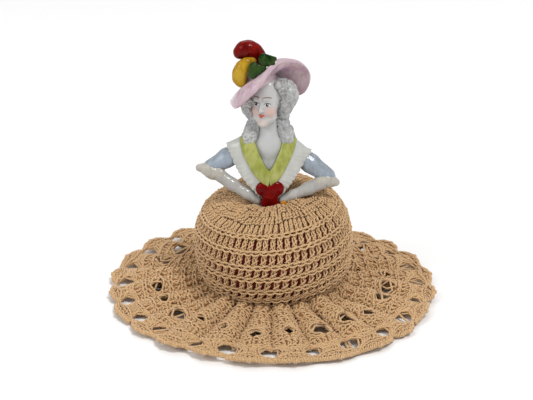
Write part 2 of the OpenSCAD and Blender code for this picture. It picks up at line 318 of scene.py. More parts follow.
def post_strands():
    """Strands of one treble: share of its height, sideways in pitches, sideways in mm, and out in mm."""
    t = np.linspace(0, 1, 9)
    flare = np.abs(2 * t - 1) ** 5 * np.sign(t - 0.5)
    strands = []
    for k in (0, 1, 2):
        phase = 0.5 + TAU * k / 3 + t * 4.4
        lean_out = (-0.36, 0.0, 0.36)[k] * np.where(t > 0.5, 1, -1) * np.abs(flare)
        side, out = 0.62 * np.cos(phase), 0.62 + 0.3 * np.sin(phase)
        strands.append(np.stack([-0.03 + 1.02 * t, lean_out, side, out], 1))
    s = np.linspace(-1, 1, 6)
    arch = 1.25 * np.sqrt(np.maximum(1 - 0.9 * s ** 2, 0))
    strands.append(np.stack([0.40 + 0.17 * s, 0 * s, 1.02 * s, 0.25 + 0.85 * arch], 1))
    strands.append(np.stack([0.08 + 0.08 * s, 0.1 * s, 0.95 * s, 0.2 + 0.8 * arch], 1))
    return strands


def chain_strands():
    """Two legs of the V that closes a stitch: above the row in mm, along it in pitches, and out in mm."""
    s = np.linspace(-0.66, 0.66, 7)
    swell = np.cos(s / 0.66 * math.pi / 2)
    front = np.stack([0.1 - 1.0 * swell, s, 0.85 + 0.6 * swell - 0.3 * s], 1)
    back = np.stack([0.3 + 0.5 * swell, s, 0.6 + 0.4 * swell - 0.3 * s], 1)
    return [front, back]


POST = post_strands()
CHAIN = chain_strands()


def trebles(fabric, base, top, low, high, pitch, chain=True, sides=6, rough=1.0, full=1.0, thick=1.0):
    """Trebles from the angles base at distance low to the angles top at distance high."""
    jitter = random.normal(0, 1, (len(base), 6)) * rough
    fit = np.clip(pitch / 3.2, 0.3, 1.0)[:, None] * full
    middle = fabric.radius((base + top) / 2, (low + high) / 2)[:, None]
    parts = []
    for strand in POST:
        share, wide, side, out = (column[None] for column in strand.T)
        v = low[:, None] + (high - low)[:, None] * (share + 0.012 * jitter[:, :1])
        u = base[:, None] + (top - base)[:, None] * share
        u = u + (side * fit + wide * pitch[:, None] + 0.09 * jitter[:, 1:2]) / middle
        height = out * (1 + 0.07 * jitter[:, 2:3]) + 0 * u
        parts.append(tubes(fabric.lay(u, v, height), THREAD_R * thick, sides))
    if chain:
        turn = (pitch / fabric.radius(top, high))[:, None]
        for leg in CHAIN:
            rise, side, out = (column[None] for column in leg.T)
            v = high[:, None] + rise + 0.07 * jitter[:, 3:4]
            u = top[:, None] + side * turn
            height = out * (1 + 0.07 * jitter[:, 4:5]) + 0 * u
            parts.append(tubes(fabric.lay(u, v, height), THREAD_R * CHAIN_THICK * thick, sides))
    return parts


# ---------------------------------------------------------------- ball

CROWN_R = 15.0
MOUTH_R = 6.6
MID_Z = 24.4
HALF_H = 23.8
SQUARE = 0.85
NOD = math.radians(4)
LEAN = math.radians(5)


def ball_profile(inset, start, end, mouth=MOUTH_R, count=240):
    """Radius and height of the ball's profile between two angles, from the underside to the mouth."""
    t = np.radians(np.linspace(start, end, count))
    cosine, sine = np.cos(t), np.sin(t)
    reach = np.where(cosine >= 0, BALL_R - CROWN_R, CROWN_R - mouth)
    radius = CROWN_R + (reach - inset) * np.sign(cosine) * np.abs(cosine) ** SQUARE
    return radius, MID_Z + (HALF_H - inset) * np.sign(sine) * np.abs(sine) ** SQUARE


def lean(points):
    """Turns points about the ball's middle: forward by NOD, then towards -X by LEAN."""
    x, y, z = points[..., 0], points[..., 1], points[..., 2] - MID_Z
    y, z = rotated(y, z, NOD)
    x, z = rotated(x, z, LEAN)
    return np.stack([x + BALL_X, y, z + MID_Z], -1)


def ball_surface(inset):
    """Surface of the ball, and the length of its profile counted up from the underside."""
    r, z = ball_profile(inset, -74, 150)
    length = np.concatenate([[0], np.cumsum(np.hypot(np.diff(r), np.diff(z)))])

    def surface(angle, along):
        radius, height = np.interp(along, length, r), np.interp(along, length, z)
        gathered = smooth01((along - 46) / 12)
        height = height + gathered * (0.45 * np.sin(angle * 9 + 1.3) + 0.25 * np.sin(angle * 14))
        return lean(np.stack([radius * np.cos(angle), radius * np.sin(angle), height], -1))

    return surface, length[-1]


BALL_ROUNDS = [
    # stitches, height
    (44, 5.0), (50, 4.9), (54, 4.6), (56, 6.1), (58, 5.5), (60, 6.4), (64, 6.4), (78, 5.9), (92, 4.0),
    (96, 3.9), (92, 3.8), (84, 3.8), (72, 3.7), (60, 3.4),
]
GATHERED_ROUNDS = 7
THREAD_INSET = 1.35
SHADE_SHEET_INSET = 1.8
SHADE_SHEET_FROM = 42.5


def gathered_shade_sheet(material):
    """A sheet under the gathers at the top of the ball, for the packed thread there, coloured as painted
    shade.
    """
    surface, total = ball_surface(SHADE_SHEET_INSET)
    turns, rings = 120, 26
    a, v = np.meshgrid(np.arange(turns) / turns * TAU, np.linspace(SHADE_SHEET_FROM, total, rings))
    _, quads = net(rings, turns)
    obj = new_object("crochet_ball_shade_sheet", surface(a, v).reshape(-1, 3), quads.reshape(-1, 4), material)
    obj.modifiers.new("thickness", "SOLIDIFY").thickness = 0.4 * MM
    register(obj, "crochet_cotton", "crochet_cover")


def gather_wave(angle):
    """How far the drawn-in rounds wander up and down, in mm."""
    wave = 0.45 * np.sin(5 * angle + 1) + 0.35 * np.sin(11 * angle + 2) + 0.2 * np.sin(23 * angle)
    return wave + random.normal(0, 0.12, angle.shape)


def crocheted_ball(cotton, shadow):
    """Rounds of trebles up the ball. The last ones have no chain between them and are drawn in."""
    surface, total = ball_surface(THREAD_INSET)
    fabric = Fabric(surface)
    rounds, drift = [], 0.0
    above = total - sum(height for _, height in BALL_ROUNDS)
    for row, (stitches, height) in enumerate(BALL_ROUNDS):
        low = np.full(stitches, above)
        above += height
        gathered = row >= len(BALL_ROUNDS) - GATHERED_ROUNDS
        base = TAU * (np.arange(stitches) + drift) / stitches + random.normal(0, 0.006, stitches)
        drift += 0.36 + random.uniform(-0.1, 0.1)
        top = TAU * (np.arange(stitches) + drift) / stitches + random.normal(0, 0.006, stitches)
        pitch = TAU / stitches * fabric.radius(top, low + height)
        rough = 2.1 if gathered else 1.1
        high = low + height
        if gathered:
            low, high = low + gather_wave(base), high + gather_wave(top)
        rounds.append(trebles(fabric, base, top, low, high, pitch, not gathered, 6, rough, full=1.35))
    gathered_shade_sheet(shadow)
    for name, first, last in (("lower", 0, 4), ("middle", 4, 7), ("upper", 7, 11), ("mouth", 11, 14)):
        parts = sum(rounds[first:last], [])
        nodes = "crochet_cover", "gathering_cord"
        thread_piece("crochet_ball_" + name, parts, cotton, "crochet_cotton", *nodes)


# ---------------------------------------------------------------- brim

REPEATS = 24
RUFFLE = random.uniform(0.5, 1.25, REPEATS)
STRAY = random.uniform(-0.7, 0.7, REPEATS)
BRIM_HOLES = [
    # distance from the middle, half width, half length, turn in repeats, smallest size
    (40.5, 1.9, 2.2, 0.0, 0.3),
    (52.0, 3.6, 3.3, 0.5, 0.5),
    (65.0, 4.9, 3.6, 0.0, 0.8),
]
HOLE_SIZE = random.uniform(0.0, 1.0, (len(BRIM_HOLES), REPEATS))
HOLE_SHIFT = random.normal(0, 0.06, (len(BRIM_HOLES), REPEATS))
HOLE_PUSH = 1.75
WIDE_SIDE = math.radians(152)
EDGE_R = 71.8
EDGE_WIDE = 5.0
EDGE_CORDS = 5
SHADE_SHEET_SPAN = (21.0, 67.5)
HOLE_MARGIN = 1.12


def hole_space(angle, radius, index):
    """Place measured from the nearest hole of a ring of holes, in hole sizes, and that hole's size."""
    centre, wide, long, turn, smallest = BRIM_HOLES[index]
    cell = angle / TAU * REPEATS - turn
    near = np.round(cell).astype(int) % REPEATS
    size = smallest + (1.1 - smallest) * HOLE_SIZE[index][near]
    across = (cell - np.round(cell) - HOLE_SHIFT[index][near]) * TAU / REPEATS * centre
    return across / (wide * size), (radius - centre) / (long * size), wide * size, long * size


def around_holes(angle, radius):
    """Moves the cloth outwards from the middle of each hole, so that stitches pass round it."""
    for index in range(len(BRIM_HOLES)):
        p, q, wide, long = hole_space(angle, radius, index)
        distance = np.maximum(np.hypot(p, q), 0.02)
        inside = distance < HOLE_PUSH
        pushed = 1 + distance * (HOLE_PUSH - 1) / HOLE_PUSH
        factor = np.where(inside, pushed / distance - 1, 0)
        angle = angle + p * wide * factor / BRIM_HOLES[index][0]
        radius = radius + q * long * factor
    return angle, radius


def brim_height(angle, radius):
    """Height of the ruffled cloth: broad rounded folds with narrow grooves between them."""
    cell = np.mod(angle / TAU * REPEATS, REPEATS)
    near = np.floor(cell).astype(int) % REPEATS
    part = cell - np.floor(cell)
    strength = RUFFLE[near] * (0.66 + 0.34 * np.cos(angle) ** 2)
    bend = STRAY[near] * np.sin(math.pi * part) ** 2 * 0.16 * smooth01((radius - 35) / 20)
    fold = np.abs(np.sin(math.pi * (part + bend))) ** 0.9
    tall = 7.2 * smooth01((radius - 22) / 12) * (1 - 0.75 * smooth01((radius - 50) / 20))
    collar = 3.0 * np.exp(-((radius - 29) / 5.0) ** 2)
    lift = 1.2 * (0.5 + 0.5 * np.sin(3 * angle + 1.0)) * smooth01((radius - 55) / 15)
    return 0.5 + collar + tall * strength * fold + lift


def brim_point(angle, radius):
    """Place on the ruffled cloth, which is stretched wider on one side."""
    turn = np.mod(angle - WIDE_SIDE + math.pi, TAU) - math.pi
    reach = radius * (1 + 0.035 * np.exp(-(turn / 0.5) ** 2) * smooth01((radius - 35) / 30))
    return np.stack([reach * np.cos(angle), reach * np.sin(angle), brim_height(angle, radius)], -1)


def brim_surface(angle, radius):
    """The ruffled cloth with its stitches led round the holes."""
    return brim_point(*around_holes(angle, radius))


BRIM_ROUNDS = [
    # stitches, from, to
    (60, 20.5, 25.2), (80, 25.2, 30.0), (116, 30.0, 35.0), (140, 35.0, 40.4), (160, 40.4, 46.0),
    (180, 46.0, 51.4), (190, 51.4, 57.0), (204, 57.0, 62.6), (210, 62.6, 68.0),
]


def even_angles(count, along, drift):
    """Angles that space stitches nearly evenly along the folded cloth."""
    fine = np.linspace(0, TAU, 3601)
    path = brim_point(fine, along + 0 * fine)
    length = np.concatenate([[0], np.cumsum(np.linalg.norm(np.diff(path, axis=0), axis=1))])
    length = 0.7 * length / length[-1] + 0.3 * fine / TAU
    return np.interp((np.arange(count) + drift % 1) / count, length, fine) + random.normal(0, 0.004, count)


def crocheted_brim(cotton, shadow):
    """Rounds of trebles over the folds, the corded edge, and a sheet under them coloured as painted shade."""
    fabric = Fabric(brim_surface, -1)
    rounds, drift = [], 0.0
    for stitches, low, high in BRIM_ROUNDS:
        base = even_angles(stitches, low, drift)
        drift += 0.35
        top = even_angles(stitches, high, drift)
        top = top + TAU * np.round((base - top) / TAU)
        pitch = TAU / stitches * fabric.radius(top, np.full(stitches, high))
        lows, highs = np.full(stitches, low), np.full(stitches, high)
        rounds.append(trebles(fabric, base, top, lows, highs, pitch, sides=5, full=1.6, thick=1.22))
    edge = lace_edge(fabric)
    pieces = [
        ("inner", sum(rounds[:4], []), "crochet_brim"), ("middle", sum(rounds[4:6], []), "crochet_brim"),
        ("outer", sum(rounds[6:8], []), "lace_edging"), ("border", sum(rounds[8:], []), "lace_edging"),
        ("cord", edge[:EDGE_CORDS], "lace_edging"), ("edge", edge[EDGE_CORDS:], "lace_edging"),
    ]
    worked = [thread_piece("crochet_brim_" + name, parts, cotton, "crochet_cotton", node)
              for name, parts, node in pieces]
    shade_sheet = brim_shade_sheet(shadow)
    cloth_area(shade_sheet) / 2


def brim_shade_sheet(material):
    """A sheet for the dense middle of the crochet, coloured as painted shade and seen only between its
    threads, with the same holes.
    """
    turns, rings = REPEATS * 24, 64
    a, r = np.meshgrid(np.arange(turns) / turns * TAU, np.linspace(*SHADE_SHEET_SPAN, rings))
    _, quads = net(rings, turns)
    mid_a, mid_r = a[:-1] + math.pi / turns, (r[:-1] + r[1:]) / 2
    keep = np.ones(mid_a.shape, bool)
    for ring in range(len(BRIM_HOLES)):
        p, q, _, _ = hole_space(mid_a, mid_r, ring)
        keep &= np.hypot(p, q) > HOLE_MARGIN
    points = (brim_point(a, r) + [0, 0, 0.35]).reshape(-1, 3)
    used, faces = np.unique(quads[keep], return_inverse=True)
    obj = new_object("crochet_brim_shade_sheet", points[used], faces.reshape(-1, 4), material)
    obj.modifiers.new("thickness", "SOLIDIFY").thickness = 0.5 * MM
    return register(obj, "crochet_cotton", "crochet_brim")


def lace_edge(fabric):
    """The corded edge: three plies and two threads inside them, in lobes with picots, and their stitches."""
    turns = 14 * REPEATS
    s = np.arange(turns * 9 + 1) / (turns * 9)
    u = s * TAU
    cell = s * REPEATS
    near = np.floor(cell).astype(int) % REPEATS
    part = cell - np.floor(cell)
    notch = (random.random(REPEATS) < 0.3)[near]
    close = np.minimum(part, 1 - part)
    valley = smooth01(1 - close / 0.32)
    picot = smooth01(1 - np.abs(close - 0.5) / 0.08)
    stretch = random.uniform(-1.0, 0.7, REPEATS)[near] * (1 - valley)
    r = EDGE_R - np.where(notch, 3.8, 1.0) * valley + stretch + 0.9 * picot
    parts = []
    for k in (0, 1, 2):
        phase = s * TAU * turns / 2 + k * TAU / 3
        path = fabric.lay(u[None], (r + 0.6 * np.cos(phase))[None], (0.8 + 0.6 * np.sin(phase))[None])
        parts.append(tubes(path, THREAD_R * 1.1, 5))
    wiggle = 0.16 * np.sin(s * TAU * turns)
    for offset, out in ((-1.5, 0.7), (0.0, 0.9)):
        path = fabric.lay(u[None], (r + offset + wiggle)[None], (out + 0 * r)[None])
        parts.append(tubes(path, THREAD_R * 1.1, 5))
    count = REPEATS * 9
    base = TAU * (np.arange(count) + 0.5) / count
    reach = np.interp(base, u, r)
    low = np.full(count, EDGE_R - EDGE_WIDE)
    pitch = np.full(count, TAU / count * 70.0)
    return parts + trebles(fabric, base, base + 0.004, low, reach - 0.5, pitch, sides=5, rough=1.6)


# ---------------------------------------------------------------- cushion and base

WEAVE_PITCH = 0.32


def cloth_material(name, base, dark):
    """Plain-woven cotton: threads over and under, paler and darker in patches."""
    m = Nodes(name)
    place = m.place()
    scale = 1 / (WEAVE_PITCH * MM)
    parts = m.add("SeparateXYZ", {"Vector": place})
    angle = m.math("ARCTAN2", parts.outputs[1], parts.outputs[0])
    warp = m.math("SINE", m.times(angle, 30.0 * MM * scale * math.pi))
    weft = m.math("SINE", m.times(parts.outputs[2], scale * math.pi))
    weave = m.scaled(m.times(warp, weft), 0.5, 0.5)
    patch = m.noise(90.0, 3.0, place)
    color = m.mix(m.scaled(weave, 0.5, m.times(patch, 0.6)), dark, base)
    return m.set(Base_Color=color, Roughness=0.85, Normal=m.bump(0.6, 0.1 * MM, weave), Sheen_Weight=0.2)


def revolve(r, z, turns, pucker=0.0, puckers=24):
    """Points and closed faces of a profile turned about Z, moved in and out by a pucker."""
    angle = np.arange(turns) / turns * TAU
    radius = r[:, None] + pucker * np.sin(puckers * angle) * np.clip(r[:, None] / r.max() - 0.6, 0, 1)
    points = np.stack([radius * np.cos(angle), radius * np.sin(angle), z[:, None] + 0 * angle], -1)
    index, quads = net(len(r), turns)
    return points.reshape(-1, 3), [quads.reshape(-1, 4), np.stack([index[0, ::-1], index[-1]])]


CUSHION_INSET = 2.6
CUSHION_FOOT = 3.4
SIM_SCALE = 20.0
SIM_FRAMES = 20
VOXEL = 1.7 * MM
PUFF_CAP = 0.6 * MM


def evaluated_mesh(obj):
    """The mesh as its modifiers leave it."""
    depsgraph = bpy.context.evaluated_depsgraph_get()
    return bpy.data.meshes.new_from_object(obj.evaluated_get(depsgraph))


def puff(obj):
    """Remeshes a closed pad and blows it up as cloth. It is enlarged meanwhile, so that the cloth behaves."""
    remesh = obj.modifiers.new("remesh", "REMESH")
    remesh.mode, remesh.voxel_size = "VOXEL", VOXEL
    mesh = evaluated_mesh(obj)
    obj.modifiers.clear()
    obj.data = mesh
    start = np.empty(len(mesh.vertices) * 3, np.float32)
    mesh.vertices.foreach_get("co", start)
    mesh.vertices.foreach_set("co", start * SIM_SCALE)
    cloth = obj.modifiers.new("cloth", "CLOTH")
    cloth.settings.mass = 0.05
    cloth.settings.use_pressure = True
    cloth.settings.uniform_pressure_force = 4
    cloth.settings.effector_weights.gravity = 0
    for moment in range(1, SIM_FRAMES + 1):
        bpy.context.scene.frame_set(moment)
    blown = evaluated_mesh(obj)
    end = np.empty_like(start)
    blown.vertices.foreach_get("co", end)
    obj.modifiers.clear()
    bpy.context.scene.frame_set(1)
    move = (end / SIM_SCALE - start).reshape(-1, 3)
    far = np.linalg.norm(move, axis=1, keepdims=True)
    move *= np.minimum(1, PUFF_CAP / np.maximum(far, 1e-9))
    mesh.vertices.foreach_set("co", start + move.ravel())
    mesh.polygons.foreach_set("use_smooth", np.ones(len(mesh.polygons), bool))
    mesh.update()
    smooth = obj.modifiers.new("subdivision", "SUBSURF")
    smooth.levels = smooth.render_levels = 1


def cushion(material):
    """The stuffed red ball inside, puffed out by a pressure simulation."""
    r, z = ball_profile(CUSHION_INSET, -88, 145, mouth=11.0, count=60)
    points, faces = revolve(r, z, 96)
    points = lean(points)
    points[:, 2] = np.maximum(points[:, 2], CUSHION_FOOT)
    obj = new_object("red_cushion", points, faces, material)
    puff(obj)
    register(obj, "cushion_cloth", "cushion_cover", "cushion_filling")


def cloth_area(obj):
    """Area of a mesh in square metres."""
    return sum(face.area for face in evaluated_mesh(obj).polygons)


def thread_loops(name, rings, material, node):
    """Closed stitches: each ring is (centre, first axis, second axis) of an oval, in mm."""
    t = np.linspace(0, TAU, 25)
    centre, first, second = (np.array(column, float)[:, None] for column in zip(*rings))
    paths = centre + first * np.cos(t)[:, None] + second * np.sin(t)[:, None]
    thread_piece(name, [tubes(paths, SEWING_R)], material, "sewing_thread", node)


SEWING_R = 0.3
FLANGE_HOLE_R = 9.9
BASE_STITCHES = 24


def card_disc(card):
    """The stiff disc under the ball, very slightly warped."""
    (_, _, card_low), (card_r, _, card_high) = box_mm("base_card")
    r = np.array([0.2, 6, 12, 17, card_r - 0.5, card_r - 0.1, card_r - 0.1, card_r - 0.5, 17, 12, 6, 0.2])
    low, high = card_low + 0.05, card_high - 0.05
    z = np.array([low] * 5 + [low + 0.3, high - 0.3] + [high] * 5)
    points, faces = revolve(r, z, 72)
    points[:, 2] += 0.05 * np.sin(points[:, 0] * 0.3) * np.cos(points[:, 1] * 0.2)
    register(new_object("card_disc", points, faces, card), "card", "base_card")


def base_cloth(cloth):
    """The cloth drawn over the disc from below, puckered where it turns over the rim."""
    inside = box_mm("base_card")[1][0] + 0.1
    cover_r, _, cover_high = box_mm("base_cover")[1]
    r = np.array([0.2, 8, 14, 18, 20.2, cover_r, cover_r, cover_r - 0.3, inside + 0.2, inside, inside,
                  18, 14, 8, 0.2])
    z = np.array([0.12, 0.1, 0.1, 0.12, 0.25, 0.7, cover_high - 0.6, cover_high, cover_high,
                  cover_high - 0.4, 0.75, 0.7, 0.62, 0.6, 0.6])
    points, faces = revolve(r, z, 288, 0.5, BASE_STITCHES)
    angle, radius = np.arctan2(points[:, 1], points[:, 0]), np.hypot(points[:, 0], points[:, 1])
    pucker = 0.06 * smooth01((radius - 8) / 10) * (1 + np.sin(BASE_STITCHES * 2 * angle))
    points[:, 2] += np.where(points[:, 2] < 0.5, pucker, -0.3 * pucker)
    cover = new_object("base_cloth", points, faces, cloth)
    register(cover, "cushion_cloth", "base_cover")
    cloth_area(cover) / 2


def whip_stitches(cotton):
    """Stitches over the seam round the base."""
    cover_r = box_mm("base_cover")[1][0]
    rings = []
    for i in range(BASE_STITCHES):
        a = TAU * (i + random.uniform(-0.15, 0.15)) / BASE_STITCHES
        out, round_it = np.array([math.cos(a), math.sin(a), 0]), np.array([-math.sin(a), math.cos(a), 0])
        rings.append((out * (cover_r + 0.1) + [0, 0, 1.25], out * 0.55, round_it * 0.5 + [0, 0, 0.8]))
    thread_loops("base_whip_stitches", rings, cotton, "base_stitching")


def flange_stitches(cotton):
    """Loops of thread through the four holes of the doll's flange, down into the cushion."""
    low, high = box_mm("sewing_stitches")
    centre = (low + high) / 2
    rings = []
    for a in np.radians([45, 135, 225, 315]):
        out = np.array([math.cos(a), math.sin(a), 0])
        for turn in (-0.18, 0.18):
            place = centre + out * FLANGE_HOLE_R + np.cross([0, 0, 1], out) * turn
            rings.append((place, out * 1.35, np.array([0, 0, (high - low)[2] / 2 - SEWING_R])))
    thread_loops("flange_stitches", rings, cotton, "sewing_stitches")


def card_material():
    """Grey-brown board with fibres along one way."""
    m = Nodes("pasteboard")
    place = m.place()
    fibre = m.noise(1400.0, 4.0, m.add("Mapping", {"Vector": place, "Scale": (1.0, 0.25, 1.0)}).outputs[0])
    color = m.mix(m.scaled(fibre, 0.7, m.times(m.noise(60.0, 2.0, place), 0.4)),
                  rgb(150, 134, 110), rgb(196, 182, 156))
    return m.set(Base_Color=color, Roughness=0.9, Normal=m.bump(0.4, 0.1 * MM, fibre))


# ---------------------------------------------------------------- porcelain: modelling with distances

def blend(a, b, k):
    """Smooth union of two distances."""
    h = np.clip(0.5 + 0.5 * (b - a) / k, 0, 1)
    return b + (a - b) * h - k * h * (1 - h)


def carve(a, b, k):
    """Takes the shape b out of a, with a soft edge."""
    return -blend(-a, b, k)


def ball(p, centre, radius):
    """Distance to a ball."""
    return np.linalg.norm(p - np.float32(centre), axis=-1) - radius


def egg(p, centre, radii):
    """Distance to an egg with three radii, nearly exact close to it."""
    q = p - np.float32(centre)
    radii = np.float32(radii)
    near = np.linalg.norm(q / radii, axis=-1)
    far = np.linalg.norm(q / radii ** 2, axis=-1)
    return near * (near - 1) / np.maximum(far, 1e-6)


def limb(p, a, b, ra, rb):
    """A rod with round ends, from a to b."""
    a, b = np.float32(a), np.float32(b)
    t = np.clip((p - a) @ (b - a) / np.dot(b - a, b - a), 0, 1)
    return np.linalg.norm(p - a - t[..., None] * (b - a), axis=-1) - (ra + (rb - ra) * t)


def chain(p, points, radii, k=1.0):
    """Rods joined end to end and blended."""
    d = limb(p, points[0], points[1], radii[0], radii[1])
    for i in range(1, len(points) - 1):
        d = blend(d, limb(p, points[i], points[i + 1], radii[i], radii[i + 1]), k)
    return d


def shell(field, low, step):
    """Quads round the places where a field is below zero, one vertex to a crossed cell."""
    inside = field < 0
    corners = [(i, j, k) for i in (0, 1) for j in (0, 1) for k in (0, 1)]
    n = np.array(field.shape) - 1
    part = lambda grid, c: grid[c[0]:c[0] + n[0], c[1]:c[1] + n[1], c[2]:c[2] + n[2]]
    count = sum(part(inside, c).astype(np.int8) for c in corners)
    active = (count > 0) & (count < 8)
    cells = np.argwhere(active)
    total, weight = np.zeros((len(cells), 3)), np.zeros(len(cells))
    value = {c: field[tuple((cells + c).T)] for c in corners}
    for a in corners:
        for axis in range(3):
            if a[axis] == 0:
                b = tuple(1 if i == axis else a[i] for i in range(3))
                crossed = (value[a] < 0) != (value[b] < 0)
                t = value[a] / np.where(crossed, value[a] - value[b], 1)
                point = np.array(a, float) + np.eye(3)[axis] * t[:, None]
                total += np.where(crossed[:, None], point, 0)
                weight += crossed
    points = (cells + total / weight[:, None]) * step + low
    index = np.full(active.shape, -1)
    index[active] = np.arange(len(cells))
    faces = []
    for axis in range(3):
        u, v = [(1, 2), (2, 0), (0, 1)][axis]
        first = inside[:-1, :, :] if axis == 0 else inside[:, :-1, :] if axis == 1 else inside[:, :, :-1]
        second = inside[1:, :, :] if axis == 0 else inside[:, 1:, :] if axis == 1 else inside[:, :, 1:]
        edges = np.argwhere(first != second)
        edges = edges[(edges[:, u] > 0) & (edges[:, v] > 0) & (edges[:, u] < n[u]) & (edges[:, v] < n[v])]
        out = first[tuple(edges.T)]
        eu, ev = np.eye(3, dtype=int)[u], np.eye(3, dtype=int)[v]
        loop = np.stack([index[tuple((edges - a).T)] for a in (eu + ev, ev, 0 * eu, eu)], -1)
        loop = np.where(out[:, None], loop, loop[:, ::-1])
        faces.append(loop)
    faces = np.concatenate(faces)
    return points, faces[(faces >= 0).all(1)]


def neighbours(faces):
    """Start and end of every side of every face."""
    onward = np.roll(faces, -1, 1)
    return np.concatenate([faces, onward]).ravel(), np.concatenate([onward, faces]).ravel()


def average(values, start, end, count):
    """Mean of each vertex's neighbours."""
    number = np.maximum(np.bincount(start, minlength=count), 1)
    total = [np.bincount(start, values[end, i], count) for i in range(values.shape[1])]
    return np.stack(total, 1) / number[:, None]


def hollows(points, faces):
    """How hollow the surface is at each vertex: 0 on open places, towards 1 in creases and under edges; the
    glaze darkens with it, as pooled glaze and painted shade.
    """
    start, end = neighbours(faces)
    normal = np.zeros_like(points)
    for i in range(4):
        a, b, c = points[faces[:, i - 1]], points[faces[:, i]], points[faces[:, (i + 1) % 4]]
        turn = np.cross(c - b, a - b)
        for axis in range(3):
            normal[:, axis] += np.bincount(faces[:, i], turn[:, axis], len(points))
    normal = unit(normal)
    bend = ((average(points, start, end, len(points)) - points) * normal).sum(1, keepdims=True)
    for _ in range(4):
        bend = 0.5 * bend + 0.5 * average(bend, start, end, len(points))
    crease = np.clip(bend[:, 0] * 14, 0, 1)
    # Painted shade: how far other parts of the doll cover each vertex, probed outwards like ambient
    # occlusion.
    covered = np.zeros(len(points))
    for reach in (0.8, 1.8, 3.6):
        probe = np.float32(points + normal * reach)
        covered += np.clip(1 - doll_shade(probe) / reach, 0, 1) / 3
    return np.clip(0.7 * crease + 0.62 * (covered - 0.08), 0, 1)


def porcelain(name, points, faces, material, slot, node):
    """Makes a piece from points in mm from the doll's waist, with its hollows kept for the glaze's pooling
    and painted shade.
    """
    obj = new_object(name, points + WAIST, faces, material)
    layer = obj.data.attributes.new("hollow", "FLOAT", "POINT")
    layer.data.foreach_set("value", hollows(points, faces).astype(np.float32))
    register(obj, slot, node)


def cast(name, shape, low, high, step, material, slot, stamps=()):
    """Turns a distance into a closed piece that stands for the CAD node of its own name."""
    axes = [np.arange(a, b + step, step, dtype=np.float32) for a, b in zip(low, high)]
    grid = np.stack(np.meshgrid(*axes, indexing="ij"), -1)
    field = shape(grid).astype(np.float32)
    for centre, reach, change in stamps:
        first = [max(int((c - reach - a[0]) / step), 0) for c, a in zip(centre, axes)]
        last = [max(int((c + reach - a[0]) / step) + 2, 0) for c, a in zip(centre, axes)]
        block = tuple(slice(a, b) for a, b in zip(first, last))
        if field[block].size:
            field[block] = change(grid[block], field[block])
    porcelain(name, *shell(field, np.array(low), step), material, slot, name)


# ---------------------------------------------------------------- porcelain: the shapes of the doll

FACE_AT = np.float32([-1.4, -1.8, 46.2])
FORWARD = np.float32([-0.342, -0.940, 0.0])
ASIDE = np.float32([0.940, -0.342, 0.0])


def face_space(p):
    """Sideways, forward and up from the middle of the head, which is turned towards -X."""
    q = p - FACE_AT
    return np.stack([q @ ASIDE, q @ FORWARD, q[..., 2]], -1)


def head(p):
    """Face and skull, with brow, nose, eyelids, lips, cheeks and chin."""
    q = face_space(p)
    d = egg(q, (0, -1.2, 1.4), (6.6, 7.0, 8.0))
    d = blend(d, egg(q, (0, 1.3, -2.6), (5.35, 5.0, 8.4)), 1.4)
    d = blend(d, ball(q, (0, 3.9, -10.1), 2.3), 1.8)
    for side in (-1, 1):
        d = blend(d, ball(q, (2.5 * side, 2.0, -7.8), 2.7), 1.8)
        d = blend(d, ball(q, (2.6 * side, 3.5, -4.7), 2.3), 1.4)
        d = carve(d, ball(q, (2.45 * side, 7.7, -1.4), 1.75), 1.0)
        d = blend(d, egg(q, (2.5 * side, 5.1, -1.7), (1.3, 0.95, 0.8)), 0.25)
        d = blend(d, limb(q, (1.0 * side, 6.2, 0.7), (3.4 * side, 5.0, 0.8), 0.4, 0.3), 0.9)
        d = blend(d, ball(q, (0.72 * side, 6.5, -4.15), 0.5), 0.35)
        d = blend(d, limb(q, (0.25 * side, 6.35, -6.1), (1.1 * side, 6.0, -6.2), 0.42, 0.2), 0.3)
    d = blend(d, limb(q, (0, 6.0, -0.6), (0, 7.2, -3.9), 0.5, 0.8), 0.7)
    d = blend(d, limb(q, (-0.6, 6.1, -6.95), (0.6, 6.1, -6.95), 0.45, 0.45), 0.35)
    return d


def torso(p):
    """Waist, breast, shoulders and neck."""
    d = limb(p, (0, 0, -6.5), (0, 0, 3), 5.8, 5.8)
    for side in (-1, 1):
        d = blend(d, limb(p, (4.0 * side, -4.6, -1.5), (2.5 * side, -4.0, 8.0), 3.4, 3.2), 1.5)
    d = blend(d, limb(p, (0, 0, 3), (-0.1, 0.2, 12), 5.6, 7.2), 2.5)
    for side in (-1, 1):
        d = blend(d, ball(p, (4.8 * side, -2.6, 14.4), 5.4), 1.6)
    d = blend(d, egg(p, (-0.2, 0.4, 18.5), (9.5, 5.6, 6.5)), 2.5)
    d = blend(d, limb(p, (-12.8, 0.6, 21.2), (12.6, 0.4, 19.6), 3.3, 3.3), 3.0)
    d = blend(d, egg(p, (-0.4, -0.8, 24.5), (9.5, 4.4, 5.6)), 2.5)
    return blend(d, limb(p, (-0.4, 0.2, 24), (-0.8, -0.5, 38), 5.3, 4.2), 4.0)


